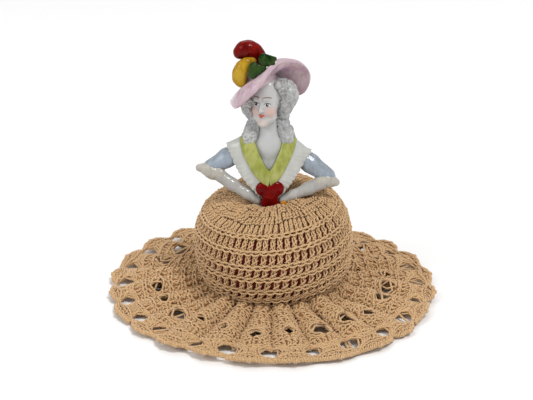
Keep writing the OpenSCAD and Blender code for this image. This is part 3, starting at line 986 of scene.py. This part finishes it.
LEFT_MASS = (
    [[-6.9, -0.4, 50.0], [-8.9, -1.0, 46.4], [-9.3, -1.2, 43.4], [-8.5, -1.2, 40.4],
    [-6.7, -0.6, 37.8]], [2.4, 2.5, 2.6, 2.4, 2.1],
)
RIGHT_MASS = (
    [[3.6, -4.6, 52.4], [7.2, -2.0, 50.2], [8.0, -1.8, 47.2], [6.8, -1.6, 43.8], [5.8, -1.2, 40.6],
    [5.4, -0.6, 37.8]], [2.0, 3.3, 3.8, 3.1, 2.5, 2.2],
)
BACK_MASS = (
    [[6.4, 3.2, 47.8], [6.8, 5.0, 43.6], [4.0, 6.2, 39.0], [-1.0, 6.4, 37.4], [-5.6, 4.8, 39.8],
    [-7.4, 3.4, 45.0]], [3.0, 3.0, 2.9, 2.8, 2.8, 2.8],
)
LEFT_FALL = (
    [[-5.8, -0.6, 38.2], [-6.4, -1.0, 34.0], [-8.0, -2.4, 30.2], [-9.1, -3.8, 27.7]],
    [2.1, 2.5, 2.9, 2.4],
)
RIGHT_FALL = (
    [[4.8, -0.6, 38.2], [5.6, -1.0, 34.0], [7.2, -2.4, 30.2], [8.2, -3.8, 28.0]], [2.1, 2.5, 2.8, 2.2],
)


def hair(p):
    """The mass of hair round the head, under its curls."""
    d = egg(p, (-0.2, 1.9, 46.4), (8.0, 7.4, 9.2))
    for points, radii in (LEFT_MASS, RIGHT_MASS, BACK_MASS):
        d = blend(d, chain(p, points, radii), 1.0)
    return d


def curl(centre, out, turn, size):
    """One small coiled lock, as a change to make to the field round it."""
    centre, out = np.float32(centre), unit(np.float32(out))
    side = unit(np.cross(out, np.float32([0.2, 0.1, 1.0])))
    up = np.cross(out, side)

    def change(p, field):
        q = p - centre
        x, y, z = q @ side, q @ up, q @ out
        angle = np.arctan2(y, x) * turn
        grow = (angle / TAU) % 1.0
        big = size * (0.75 + 0.35 * grow)
        ring = np.hypot(np.hypot(x, y) - big, z - 0.2 * size) - size * 0.46
        eye = np.sqrt(x * x + y * y + (z - 0.25 * size) ** 2) - size * 0.42
        return blend(field, blend(ring, eye, 0.2 * size), 0.4)

    return centre, size * 2.2, change


def curls_on(shape, points, radii, spacing, size, keep=lambda p: True):
    """Curls spread over a mass of hair at roughly equal spacing."""
    found = []
    for a, b, ra, rb in zip(points[:-1], points[1:], radii[:-1], radii[1:]):
        a, b = np.array(a), np.array(b)
        axis = unit(b - a)
        for _ in range(220):
            t = random.random()
            way = unit(np.cross(axis, random.normal(size=3)))
            spot = a + (b - a) * t + way * (ra + (rb - ra) * t)
            if shape(np.float32(spot)) < -0.7 or not keep(spot):
                continue
            if all(np.linalg.norm(spot - other) > spacing for other, _ in found):
                found.append((spot, way))
    return [curl(spot, way, random.choice([-1, 1]), size * random.uniform(0.85, 1.15)) for spot, way in found]


def sleeve(side):
    """A short sleeve from the shoulder to above the elbow, with soft folds."""
    arm = {-1: [[-13.4, 0.4, 20.9], [-18.6, -0.4, 18.2], [-25.2, -1.9, 14.7]],
           1: [[13.2, 0.2, 19.2], [18.0, -1.0, 15.8], [25.2, -2.9, 10.9]]}[side]

    def shape(p):
        d = chain(p, arm, [4.1, 4.1, 3.4], 1.5)
        q = p - np.float32(arm[1])
        folds = np.sin(q @ unit(np.float32([0.5 * side, 0.3, 0.8])) * 1.9 + 2.0 * np.sin(q[..., 1] * 0.6))
        return d + 0.08 * folds
    return shape


def cuff(side):
    """A flared ruffle below the sleeve, from the crook of the elbow to the tip of the cuff."""
    upper, lower, tip, hem = {
        -1: ([-26.6, -2.2, 14.4], [-24.6, -2.8, 12.8], [-30.4, -2.4, 14.4], [-21.8, -4.0, 12.2]),
        1: ([26.0, -3.3, 9.6], [24.6, -3.8, 9.2], [28.8, -4.0, 8.4], [21.6, -4.6, 8.6])}[side]
    middle = (np.float32(upper) + np.float32(tip) + np.float32(hem)) / 3
    along = unit(np.float32(tip) + np.float32(hem) - 2 * np.float32(upper) + np.float32([0, 0, -4]))

    def shape(p):
        d = limb(p, upper, tip, 2.9, 1.2)
        d = blend(d, limb(p, lower, hem, 3.3, 2.9), 2.0)
        d = blend(d, limb(p, tip, lower, 1.2, 2.6), 2.0)
        q = p - middle
        side_way = unit(np.cross(along, np.float32([0, 1, 0.2])))
        around = np.arctan2(q @ np.cross(along, side_way), q @ side_way)
        flare = np.clip((q @ along + 3.0) / 5.0, 0, 1)
        return d + 0.15 * flare * np.sin(around * 11 + 0.8 * np.sin(around * 3))
    return shape


def forearm(side):
    """A forearm with its hand resting on the waist."""
    points = {-1: [[-22.4, -3.6, 12.0], [-16.2, -5.2, 7.9], [-9.8, -6.8, 4.2], [-5.2, -7.4, 1.4]],
              1: [[22.6, -4.6, 8.4], [16.4, -5.8, 6.0], [10.2, -7.0, 3.5], [5.6, -7.4, 1.2]]}[side]
    return lambda p: chain(p, points, [2.9, 2.6, 2.2, 2.0], 1.5)


def bow(p):
    """Two loops and two hanging ends."""
    q = p * np.float32([1, 0.8, 1])
    d = blend(egg(q, (-2.6, -7.5, 7.3), (3.4, 1.6, 3.4)), egg(q, (2.8, -7.5, 7.5), (3.4, 1.6, 3.5)), 1.0)
    d = blend(d, egg(q, (0.1, -7.5, 5.4), (3.0, 1.6, 3.2)), 1.2)
    d = blend(d, limb(q, (-0.8, -7.3, 4.0), (-1.9, -7.1, 0.8), 2.2, 1.9), 1.2)
    d = blend(d, limb(q, (1.0, -7.3, 4.0), (2.4, -7.1, 0.6), 2.2, 1.9), 1.2)
    d = blend(d, egg(q, (0.2, -7.2, 0.8), (2.6, 1.6, 2.0)), 0.8)
    return d + 0.06 * np.sin(p[..., 0] * 2.1) * np.sin(p[..., 2] * 1.3)


def bud(p):
    """A ball with five small petals round it."""
    d = ball(p, (6.1, -9.3, 0.5), 1.5)
    for angle in range(5):
        way = np.float32([math.cos(angle * TAU / 5), -0.4, math.sin(angle * TAU / 5)])
        d = blend(d, ball(p, np.float32([6.1, -9.5, 0.5]) + way * 1.0, 0.8), 0.2)
    return d


RED_PLUME = (
    [[-3.4, 0.0, 61.6], [-4.6, -0.3, 64.2], [-6.4, -0.6, 66.2], [-8.8, -0.8, 67.1], [-11.0, -0.9, 66.7],
    [-12.7, -0.9, 65.5]], [2.2, 2.6, 3.0, 3.4, 3.3, 2.7],
)
YELLOW_PLUME = (
    [[-7.4, -2.4, 62.6], [-9.6, -3.6, 61.8], [-11.6, -4.2, 60.0], [-12.6, -4.5, 57.6],
    [-12.7, -4.6, 55.4], [-12.0, -4.6, 53.8]], [1.9, 2.2, 2.6, 2.8, 2.7, 2.3],
)


def plume(points, radii):
    """A curled feather with fine barbs."""
    middle = np.float32(points[2])

    def shape(p):
        q = p - middle
        barbs = np.sin(np.arctan2(q[..., 2] + 5, q[..., 0]) * 26)
        return chain(p, points, radii, 1.6) + 0.02 * barbs
    return shape


def leaves(p):
    """Two heart-shaped leaves lying on the front of the hat."""
    q = (p - np.float32([0, -8.4, 0])) * np.float32([1, 1.2, 1]) + np.float32([0, -8.4, 0])
    left = blend(limb(q, (-7.0, -8.4, 58.2), (-6.6, -8.2, 61.4), 1.9, 2.1),
                 limb(q, (-6.6, -8.5, 58.9), (-2.8, -8.8, 60.9), 2.0, 1.5), 0.7)
    left = carve(left, limb(q, (-7.6, -10.4, 57.4), (-3.6, -10.7, 61.8), 0.16, 0.16), 0.3)
    right = blend(limb(q, (-2.4, -7.8, 64.9), (2.1, -7.2, 64.7), 2.3, 0.9),
                  limb(q, (-2.2, -8.0, 63.7), (1.1, -8.1, 62.8), 2.1, 1.3), 0.7)
    right = carve(right, limb(q, (-3.4, -10.2, 64.6), (2.4, -9.2, 64.3), 0.16, 0.16), 0.3)
    return np.minimum(left, right)


HAT_AT = np.array([-5.2, 1.0, 54.6])
HAT_PITCH = math.radians(-12)
HAT_ROLL = math.radians(-42)
HAT_THICK = 2.3
HAT_RIM = [
    # angle, radius, drop at the rim, how far it is turned up, how far its edge is rolled down
    (-165, 16.5, 0.0, 0.0, 2.6), (-130, 14.9, 0.0, 0.0, 4.2), (-90, 12.9, 0.0, 0.5, 3.0),
    (-60, 13.2, 0.0, 1.8, 1.8), (-28, 15.0, 0.2, 4.0, 0.4), (0, 16.8, 6.0, 4.0, 0.0),
    (14, 17.8, 11.0, 3.0, 0.0), (22, 17.0, 13.9, 2.0, 0.0), (35, 15.0, 16.0, 1.0, 0.0),
    (51, 13.2, 16.8, 0.0, 0.0), (90, 13.5, 15.0, 0.0, 0.0), (120, 14.5, 10.0, 0.0, 0.0),
    (150, 15.8, 2.5, 0.0, 0.0), (172, 16.4, 0.0, 0.0, 1.2),
]


def even_out(values):
    """Takes the corners out of values that run round a closed ring."""
    for _ in range(14):
        values = (np.roll(values, 1) + 2 * values + np.roll(values, -1)) / 4
    return values


def hat_space(points):
    """From the flat hat to its place on the head: pitched, then rolled."""
    x, y, z = points[..., 0], points[..., 1], points[..., 2]
    y, z = rotated(y, z, HAT_PITCH)
    x, z = rotated(x, z, -HAT_ROLL)
    return np.stack([x, y, z], -1) + HAT_AT


def hat_brim(material):
    """The wide brim: it dips on one side, turns up in front and rolls down at the back."""
    turns, steps = 160, 26
    angle = np.arange(turns) / turns * TAU - math.pi
    places, radii, drops, turned, rolled = np.array(HAT_RIM).T
    at = np.degrees(angle)
    rim, drop, turn_up, roll = (
        even_out(np.interp(at, places, values, period=360)) for values in (radii, drops, turned, rolled))
    rim = rim + 0.2 * np.sin(angle * 3 + 1) + 0.15 * np.sin(angle * 7)
    out = np.linspace(0, 1, steps)
    share = np.concatenate([out, [1.035, 1.045, 1.035], out[::-1]])
    half = HAT_THICK / 2 * np.concatenate([0.5 + 0.5 * out, [0.75, 0.0, -0.75], -(0.5 + 0.5 * out)[::-1]])
    s, r = share[:, None], rim[None]
    radius = r * (0.32 + 0.68 * s)
    height = -drop[None] * s ** 1.5 + turn_up[None] * (s - 1) + half[:, None]
    height = height - roll[None] * np.clip((s - 0.5) / 0.5, 0, 1.05) ** 1.6
    ripple = 0.25 * np.sin(angle * 5)[None] * s ** 2
    points = np.stack([radius * np.cos(angle), radius * np.sin(angle), height + ripple], -1)
    index, quads = net(len(share), turns)
    first, last = index[0], index[-1]
    inner = np.stack([last, np.roll(last, -1), np.roll(first, -1), first], -1)
    faces = np.concatenate([quads.reshape(-1, 4), inner])
    porcelain("hat_brim", hat_space(points.reshape(-1, 3)), faces, material, "hat_pink", "hat_brim")


def crown(p):
    """Low rounded crown, in the tilted space of the hat."""
    q = p - np.float32(HAT_AT)
    x, y, z = q[..., 0], q[..., 1], q[..., 2]
    x, z = rotated(x, z, HAT_ROLL)
    y, z = rotated(y, z, -HAT_PITCH)
    q = np.stack([x, y, z], -1)
    d = limb(q, (0, 0, -1.5), (0, 0, 2.6), 7.0, 5.2)
    return blend(d, egg(q, (0, 0, 3.5), (5.6, 5.4, 3.6)), 1.0)


def curve_through(points, count):
    """Smooth curve through points, evenly divided."""
    p = np.array(points, float)
    padded = np.concatenate([[2 * p[0] - p[1]], p, [2 * p[-1] - p[-2]]])
    t = np.linspace(0, len(p) - 1 - 1e-6, 40 * len(p))
    i = t.astype(int)
    f = (t - i)[:, None]
    a, b, c, d = padded[i], padded[i + 1], padded[i + 2], padded[i + 3]
    bend, twist = 2 * a - 5 * b + 4 * c - d, 3 * b - a - 3 * c + d
    fine = 0.5 * (2 * b + (c - a) * f + bend * f ** 2 + twist * f ** 3)
    length = np.concatenate([[0], np.cumsum(np.linalg.norm(np.diff(fine, axis=0), axis=1))])
    even = np.linspace(0, length[-1], count)
    return np.stack([np.interp(even, length, fine[:, i]) for i in range(3)], 1), even


def band(name, outer, inner, thick, sunk, material, slot, node, pleat=0.0, pitch=2.2, count=150):
    """A strip of modelled cloth between two curves, rounded on top and sunk into the body beneath."""
    outer, length = curve_through(outer, count)
    inner, _ = curve_through(inner, count)
    axis = np.array([0.0, 1.0, 15.0])
    across = inner - outer
    normal = unit(np.cross(np.gradient(outer, axis=0) + np.gradient(inner, axis=0), across))
    away = (outer + inner) / 2 - axis
    outward = np.sign((normal * away).sum(1, keepdims=True))
    normal *= outward
    wave = np.cos(length / pitch * TAU + 1.4 * np.sin(length * 0.5))
    t = np.linspace(0, 1, 15)
    top = np.sin(np.pi * (0.08 + 0.84 * t)) ** 0.35
    share = np.concatenate([[-0.02], t, [1.02], t[::-1]])
    height = np.concatenate([[0.2 * thick], top * thick, [0.2 * thick], np.full(15, -sunk)])
    lift = np.concatenate([[0.8], (1 - t) ** 0.7, [0], 0 * t])
    edge = np.concatenate([[1.0], np.clip(1 - 3 * t, 0, 1), [0], np.clip(1 - 3 * t[::-1], 0, 1)])
    s = share[None, :, None] - 0.03 * (pleat > 0) * (wave[:, None] * edge[None])[..., None]
    points = outer[:, None] + across[:, None] * s
    points = points + normal[:, None] * (height[None] + pleat * wave[:, None] * lift[None])[..., None]
    ring = points.shape[1]
    index, quads = net(count, ring)
    closing = []
    for row, flip in ((index[0], False), (index[-1], True)):
        for j in range(ring // 2 - 1):
            quad = [row[j], row[j + 1], row[ring - 2 - j], row[ring - 1 - j]]
            closing.append(quad if flip else quad[::-1])
    faces = np.concatenate([quads.reshape(-1, 4), np.array(closing)])
    if outward.mean() > 0:
        faces = faces[:, ::-1]
    porcelain(name, points.reshape(-1, 3), faces, material, slot, node)


FRILL_OUTER = [
    [-4.6, -8.0, 3.6], [-10.8, -7.0, 10.6], [-15.6, -4.2, 18.4], [-18.2, -0.4, 24.8],
    [-12.5, 6.0, 20.5], [0.0, 8.0, 17.4], [12.5, 6.0, 18.6], [17.8, -0.8, 21.8], [14.4, -4.2, 17.2],
    [10.2, -7.0, 10.6], [5.0, -8.0, 4.0],
]
FRILL_INNER = [
    [-1.2, -8.8, 7.4], [-6.0, -8.4, 13.6], [-10.6, -5.6, 21.8], [-12.4, -2.0, 27.8], [-8.0, 3.6, 27.0],
    [0.0, 5.4, 26.2], [8.0, 3.6, 25.8], [11.4, -2.4, 26.6], [8.8, -6.2, 20.4], [4.8, -8.6, 13.4],
    [1.6, -8.8, 7.4],
]
RIBBON_LEFT = (
    [[-12.7, -2.4, 28.4], [-11.2, -5.6, 22.0], [-7.2, -8.4, 14.8], [-4.2, -9.4, 11.2], [-0.6, -9.7, 8.6]],
    [[-6.8, -4.4, 28.4], [-5.0, -6.9, 23.4], [-2.7, -8.6, 18.8], [-0.9, -9.3, 16.2], [0.9, -9.7, 14.4]],
)
RIBBON_RIGHT = (
    [[11.5, -2.4, 28.2], [9.4, -5.9, 21.4], [5.8, -8.5, 14.4], [3.2, -9.3, 11.0], [0.2, -9.5, 8.6]],
    [[5.7, -4.4, 28.0], [4.4, -6.7, 23.4], [2.2, -8.4, 18.8], [0.8, -9.1, 16.4], [-0.8, -9.5, 14.8]],
)


def doll_shade(p):
    """Rough shape of the whole doll, for finding hollows and covered places."""
    d = np.minimum(head(p), torso(p))
    d = np.minimum(d, hair(p))
    for points, radii in (LEFT_FALL, RIGHT_FALL, RED_PLUME, YELLOW_PLUME):
        d = np.minimum(d, chain(p, points, radii))
    for side in (-1, 1):
        d = np.minimum(d, np.minimum(sleeve(side)(p), forearm(side)(p)))
    d = np.minimum(d, np.minimum(crown(p), bow(p)))
    for outer, inner in (RIBBON_LEFT, RIBBON_RIGHT):
        middle = (np.array(outer) + np.array(inner)) / 2
        d = np.minimum(d, chain(p, middle + [0, 1.2, 0], [2.2] * len(middle)))
    return d


def arms(paint):
    """Sleeve, cuff and forearm on each side."""
    for side, node in ((-1, "left"), (1, "right")):
        x = sorted((side * 10.5, side * 28.5))
        cast(node + "_sleeve", sleeve(side), (x[0] - 1, -6.5, 6.5), (x[1] + 1, 5.5, 25.5), 0.3,
             paint["sleeve"], "sleeve_blue")
        x = sorted((side * 17.5, side * 33))
        cast(node + "_cuff", cuff(side), (x[0], -9, 3.5), (x[1], 3.5, 21), 0.22, paint["cuff"], "fichu_white")
        x = sorted((side * 2.5, side * 26))
        cast(node + "_forearm", forearm(side), (x[0], -10.5, -1.5), (x[1], -0.5, 16), 0.3, paint["arm"],
             "porcelain_skin")


def head_and_hair(paint):
    """Torso, head, and hair in curls."""
    cast("doll_torso", torso, (-17, -9.5, -13), (17, 8.5, 42.5), 0.4, paint["skin"], "porcelain_skin")
    cast("doll_head", head, (-11, -11, 33), (7.5, 7.5, 57.5), 0.18, paint["face"], "porcelain_skin")
    front = lambda p: head(np.float32(p)) > 0.6
    stamps = []
    for points, radii in (LEFT_MASS, RIGHT_MASS, BACK_MASS):
        stamps += curls_on(hair, points, radii, 2.2, 1.2, front)
    cast("hair", hair, (-14, -10.5, 33.5), (14, 11.5, 60), 0.22, paint["hair"], "porcelain_hair", stamps)
    for name, fall in (("left_ringlets", LEFT_FALL), ("right_ringlets", RIGHT_FALL)):
        shape = lambda p, fall=fall: chain(p, *fall)
        points = np.array(fall[0])
        stamps = curls_on(shape, *fall, 2.0, 1.1)
        low, high = points.min(0) - 4.2, points.max(0) + 4.2
        cast(name, shape, low, high, 0.2, paint["hair"], "porcelain_hair", stamps)


def hat(paint):
    """Brim, crown, two plumes and the leaves."""
    hat_brim(paint["hat"])
    cast("hat_crown", crown, (-20, -9, 49), (6, 11, 67), 0.3, paint["crown"], "hat_crown")
    for colour, form in (("red", RED_PLUME), ("yellow", YELLOW_PLUME)):
        points, slot = np.array(form[0]), "plume_" + colour
        low, high = points.min(0) - 4.4, points.max(0) + 4.4
        cast(colour + "_plume", plume(*form), low, high, 0.22, paint[slot], slot)
    cast("hat_leaves", leaves, (-10, -12, 54.5), (4.5, -4.5, 68.5), 0.18, paint["leaf"], "leaf_green")


def dress_front(paint):
    """Frill, ribbon, bow and bud on the breast and waist."""
    band("fichu_frill", FRILL_OUTER, FRILL_INNER, 1.0, 2.6, paint["fichu"], "fichu_white", "fichu_frill",
         0.08, 2.3, 420)
    for name, form in (("fichu_ribbon_right", RIBBON_RIGHT), ("fichu_ribbon_left", RIBBON_LEFT)):
        lift = 0.25 if name.endswith("left") else 0.0
        band(name, *form, 1.3 + lift, 2.0, paint["ribbon"], "ribbon_yellow", "fichu_ribbon")
    cast("bow", bow, (-8, -14, -3.5), (8, -4.5, 12.5), 0.2, paint["bow"], "bow_red")
    cast("posy_bud", bud, (3.0, -12.5, -2.5), (9.0, -6.5, 3.5), 0.16, paint["bud"], "bud_amber")


# ---------------------------------------------------------------- porcelain: glaze and paint

def glazed(name, light, dark, pooled_glaze_and_shade, strokes=1.0, shine=0.4):
    """Overglaze paint on porcelain: brushed, uneven, and darker in hollows, partly as glaze pooled in creases
    and partly as painted shade under covering parts.
    """
    m = Nodes(name)
    place = m.place()
    hollow = m.add("Attribute", attribute_name="hollow").outputs["Fac"]
    strokes_way = {"Vector": place, "Scale": (1.0, 1.0, 0.35), "Rotation": (0.3, 0.5, 0.2)}
    brush = m.noise(520.0, 4.0, m.add("Mapping", strokes_way).outputs[0], 0.6)
    cloud = m.noise(130.0, 2.0, place)
    tone = m.scaled(brush, strokes * 0.7, m.scaled(cloud, strokes * 0.5, 0.5 - 0.6 * strokes))
    color = m.mix(m.ramp(tone, 0.25, 0.75), dark, light)
    # Pooled glaze and painted shade: the colour goes towards the hollow colour where the hollow attribute is
    # high.
    color = m.mix(m.ramp(hollow, 0.12, 0.85, 0.0, 0.85), color, pooled_glaze_and_shade)
    bump = m.bump(0.12, 0.4 * MM, m.noise(260.0, 2.0, place))
    speckle = m.noise(2600.0, 1.0, place)
    gloss = m.ramp(speckle, 0.3, 0.8, 0.1, 0.2)
    m.set(Base_Color=color, Roughness=gloss, Normal=bump, Specular_IOR_Level=shine)
    return m, color


def paint_face(m, color):
    """Brows, eyes, lips and cheeks painted on the glazed head, with a small painted highlight in each eye."""
    place = m.place()
    middle = tuple((WAIST + FACE_AT) * MM)
    from_head = m.add("VectorMath", {0: place, 1: middle}, operation="SUBTRACT").outputs[0]
    mm = m.add("VectorMath", {0: from_head, "Scale": 1 / MM}, operation="SCALE").outputs[0]
    aside = m.add("VectorMath", {0: mm, 1: tuple(ASIDE)}, operation="DOT_PRODUCT").outputs["Value"]
    ahead = m.add("VectorMath", {0: mm, 1: tuple(FORWARD)}, operation="DOT_PRODUCT").outputs["Value"]
    up = m.add("SeparateXYZ", {"Vector": mm}).outputs[2]
    front = m.ramp(ahead, 1.5, 3.0)

    def spot(x, y, wide, tall, soft):
        """A soft-edged oval of paint on the face."""
        a = m.math("DIVIDE", m.math("SUBTRACT", aside, x), wide)
        b = m.math("DIVIDE", m.math("SUBTRACT", up, y), tall)
        far = m.math("SQRT", m.math("ADD", m.times(a, a), m.times(b, b)))
        return m.times(m.ramp(far, 1 - soft, 1 + soft, 1, 0), front)

    def arc(x, y, wide, curve, thick, soft=0.12):
        """A bent brush line, such as a brow."""
        a = m.math("SUBTRACT", aside, x)
        drop = m.times(m.times(a, a), curve)
        off = m.math("ABSOLUTE", m.math("ADD", m.math("SUBTRACT", up, y), drop))
        line = m.ramp(off, thick - soft, thick + soft, 1, 0)
        ends = m.ramp(m.math("ABSOLUTE", a), wide - 0.4, wide + 0.1, 1, 0)
        return m.times(m.times(line, ends), front)

    for side in (-1, 1):
        cheek = m.times(spot(3.6 * side, -4.9, 2.1, 2.0, 0.8), 0.5)
        color = m.mix(cheek, color, rgb(222, 158, 134))
        color = m.mix(m.times(arc(2.45 * side, 1.75, 1.75, 0.13, 0.22), 0.9), color, rgb(122, 92, 74))
        color = m.mix(m.times(spot(2.5 * side, -1.55, 1.25, 0.62, 0.2), 0.5), color, rgb(236, 238, 238))
        color = m.mix(arc(2.5 * side, -0.85, 1.5, 0.2, 0.16), color, rgb(40, 30, 28))
        color = m.mix(spot(2.5 * side, -1.5, 0.62, 0.66, 0.15), color, rgb(14, 12, 12))
        # Painted highlight: a tiny white glint in each eye.
        color = m.mix(spot(2.7 * side, -1.25, 0.14, 0.14, 0.3), color, rgb(240, 240, 240))
        color = m.mix(spot(0.55 * side, -6.2, 0.85, 0.38, 0.25), color, rgb(190, 58, 34))
    color = m.mix(spot(0.0, -6.85, 0.75, 0.42, 0.25), color, rgb(200, 66, 40))
    color = m.mix(m.times(spot(0.0, -9.6, 2.4, 1.6, 0.8), 0.35), color, rgb(226, 190, 170))
    m.put(m.shader.inputs["Base Color"], color)


def paints():
    """All the painted and glazed finishes."""
    # Grey for the face's hollows: pooled glaze and painted shade.
    grey = rgb(150, 152, 154)
    # Each finish: paler paint, darker paint, pooled glaze and painted shade in hollows, strength of strokes,
    # and shine.
    table = {
        "arm": (rgb(184, 181, 174), rgb(158, 156, 154), rgb(138, 136, 138), 0.9),
        "skin": (rgb(198, 198, 196), rgb(184, 185, 187), rgb(166, 166, 172), 0.7),
        "cuff": (rgb(187, 182, 171), rgb(168, 163, 154), rgb(134, 130, 122), 0.8),
        "fichu": (rgb(198, 198, 192), rgb(182, 183, 178), rgb(152, 152, 144), 0.9),
        "hair": (rgb(190, 190, 188), rgb(150, 151, 152), rgb(90, 91, 94), 1.5),
        "hat": (rgb(206, 186, 190), rgb(184, 150, 168), rgb(196, 172, 180), 1.8),
        "crown": (rgb(222, 206, 208), rgb(206, 180, 190), rgb(160, 130, 136), 0.8),
        "plume_red": (rgb(128, 16, 6), rgb(82, 1, 1), rgb(56, 1, 1), 1.7, 0.12),
        "plume_yellow": (rgb(190, 154, 44), rgb(158, 112, 6), rgb(122, 80, 6), 1.8, 0.2),
        "leaf": (rgb(50, 74, 32), rgb(8, 38, 3), rgb(6, 26, 3), 1.9, 0.1),
        "ribbon": (rgb(172, 174, 100), rgb(140, 146, 58), rgb(122, 128, 30), 1.6),
        "bow": (rgb(118, 6, 3), rgb(92, 1, 1), rgb(60, 1, 1), 1.4, 0.1),
        "bud": (rgb(206, 136, 30), rgb(160, 90, 12), rgb(100, 54, 8), 1.3),
        "sleeve": (rgb(154, 166, 180), rgb(136, 142, 148), rgb(120, 122, 126), 1.4),
    }
    made = {name: glazed(name + " glaze", *spec)[0].material for name, spec in table.items()}
    m, skin = glazed("face glaze", rgb(200, 199, 196), rgb(188, 187, 186), grey, 0.5)
    paint_face(m, skin)
    made["face"] = m.material
    return made


# ---------------------------------------------------------------- camera, light, floor

def make_camera():
    """The picture's camera, in front and a little above."""
    data = bpy.data.cameras.new("camera")
    data.lens = 89.2
    data.sensor_width = 36
    camera = bpy.data.objects.new("camera", data)
    bpy.context.scene.collection.objects.link(camera)
    camera.location = Vector((0, -539.3, 263.0)) * MM
    aim = Vector((-2.58, 0, 43.8)) * MM
    camera.rotation_euler = (aim - camera.location).to_track_quat("-Z", "Y").to_euler()
    bpy.context.scene.camera = camera


def area_light(name, place, aim, size, power):
    """A square or oblong lamp turned towards a point."""
    data = bpy.data.lights.new(name, "AREA")
    data.shape = "RECTANGLE"
    data.size, data.size_y = size
    data.energy = power
    lamp = bpy.data.objects.new(name, data)
    bpy.context.scene.collection.objects.link(lamp)
    lamp.location = Vector(place)
    lamp.rotation_euler = (Vector(aim) - lamp.location).to_track_quat("-Z", "Y").to_euler()


def make_light():
    """White surroundings with a key, a fill and a back lamp."""
    world = bpy.data.worlds.new("studio")
    bpy.context.scene.world = world
    world.use_nodes = True
    background = world.node_tree.nodes["Background"]
    background.inputs[0].default_value = (1.0, 1.0, 1.0, 1.0)
    background.inputs[1].default_value = 0.5
    area_light("key", (0.6, -0.65, 1.65), (0, 0, 0.04), (0.5, 0.5), 16.0)
    area_light("fill", (-1.4, -0.9, 1.2), (0, 0, 0.05), (0.9, 0.9), 10.0)
    area_light("back", (0.0, 1.4, 1.6), (0, 0, 0.05), (1.4, 0.8), 8.0)


def make_floor():
    """A plain pale table."""
    m = Nodes("pale floor")
    shade = m.mix(m.noise(6.0, 2.0, m.place()), (0.95, 0.95, 0.95, 1), (0.97, 0.97, 0.97, 1))
    m.set(Base_Color=shade, Roughness=0.9, Specular_IOR_Level=0.1)
    size = 3000.0
    points = np.array([[-size, -size, 0], [size, -size, 0], [size, size, 0], [-size, size, 0]])
    new_object("floor", points, np.array([[0, 1, 2, 3]]), m.material, smooth=False)


bpy.context.scene.view_settings.view_transform = "Standard"
make_camera()
make_light()
make_floor()
COTTON = cotton_material()
SHADOW = shadow_material()
crocheted_ball(COTTON, SHADOW)
crocheted_brim(COTTON, SHADOW)
PAINT = paints()
arms(PAINT)
head_and_hair(PAINT)
hat(PAINT)
dress_front(PAINT)
RED_CLOTH = cloth_material("red cotton", rgb(168, 50, 32), rgb(116, 26, 18))
cushion(RED_CLOTH)
card_disc(card_material())
base_cloth(RED_CLOTH)
whip_stitches(COTTON)
flange_stitches(COTTON)
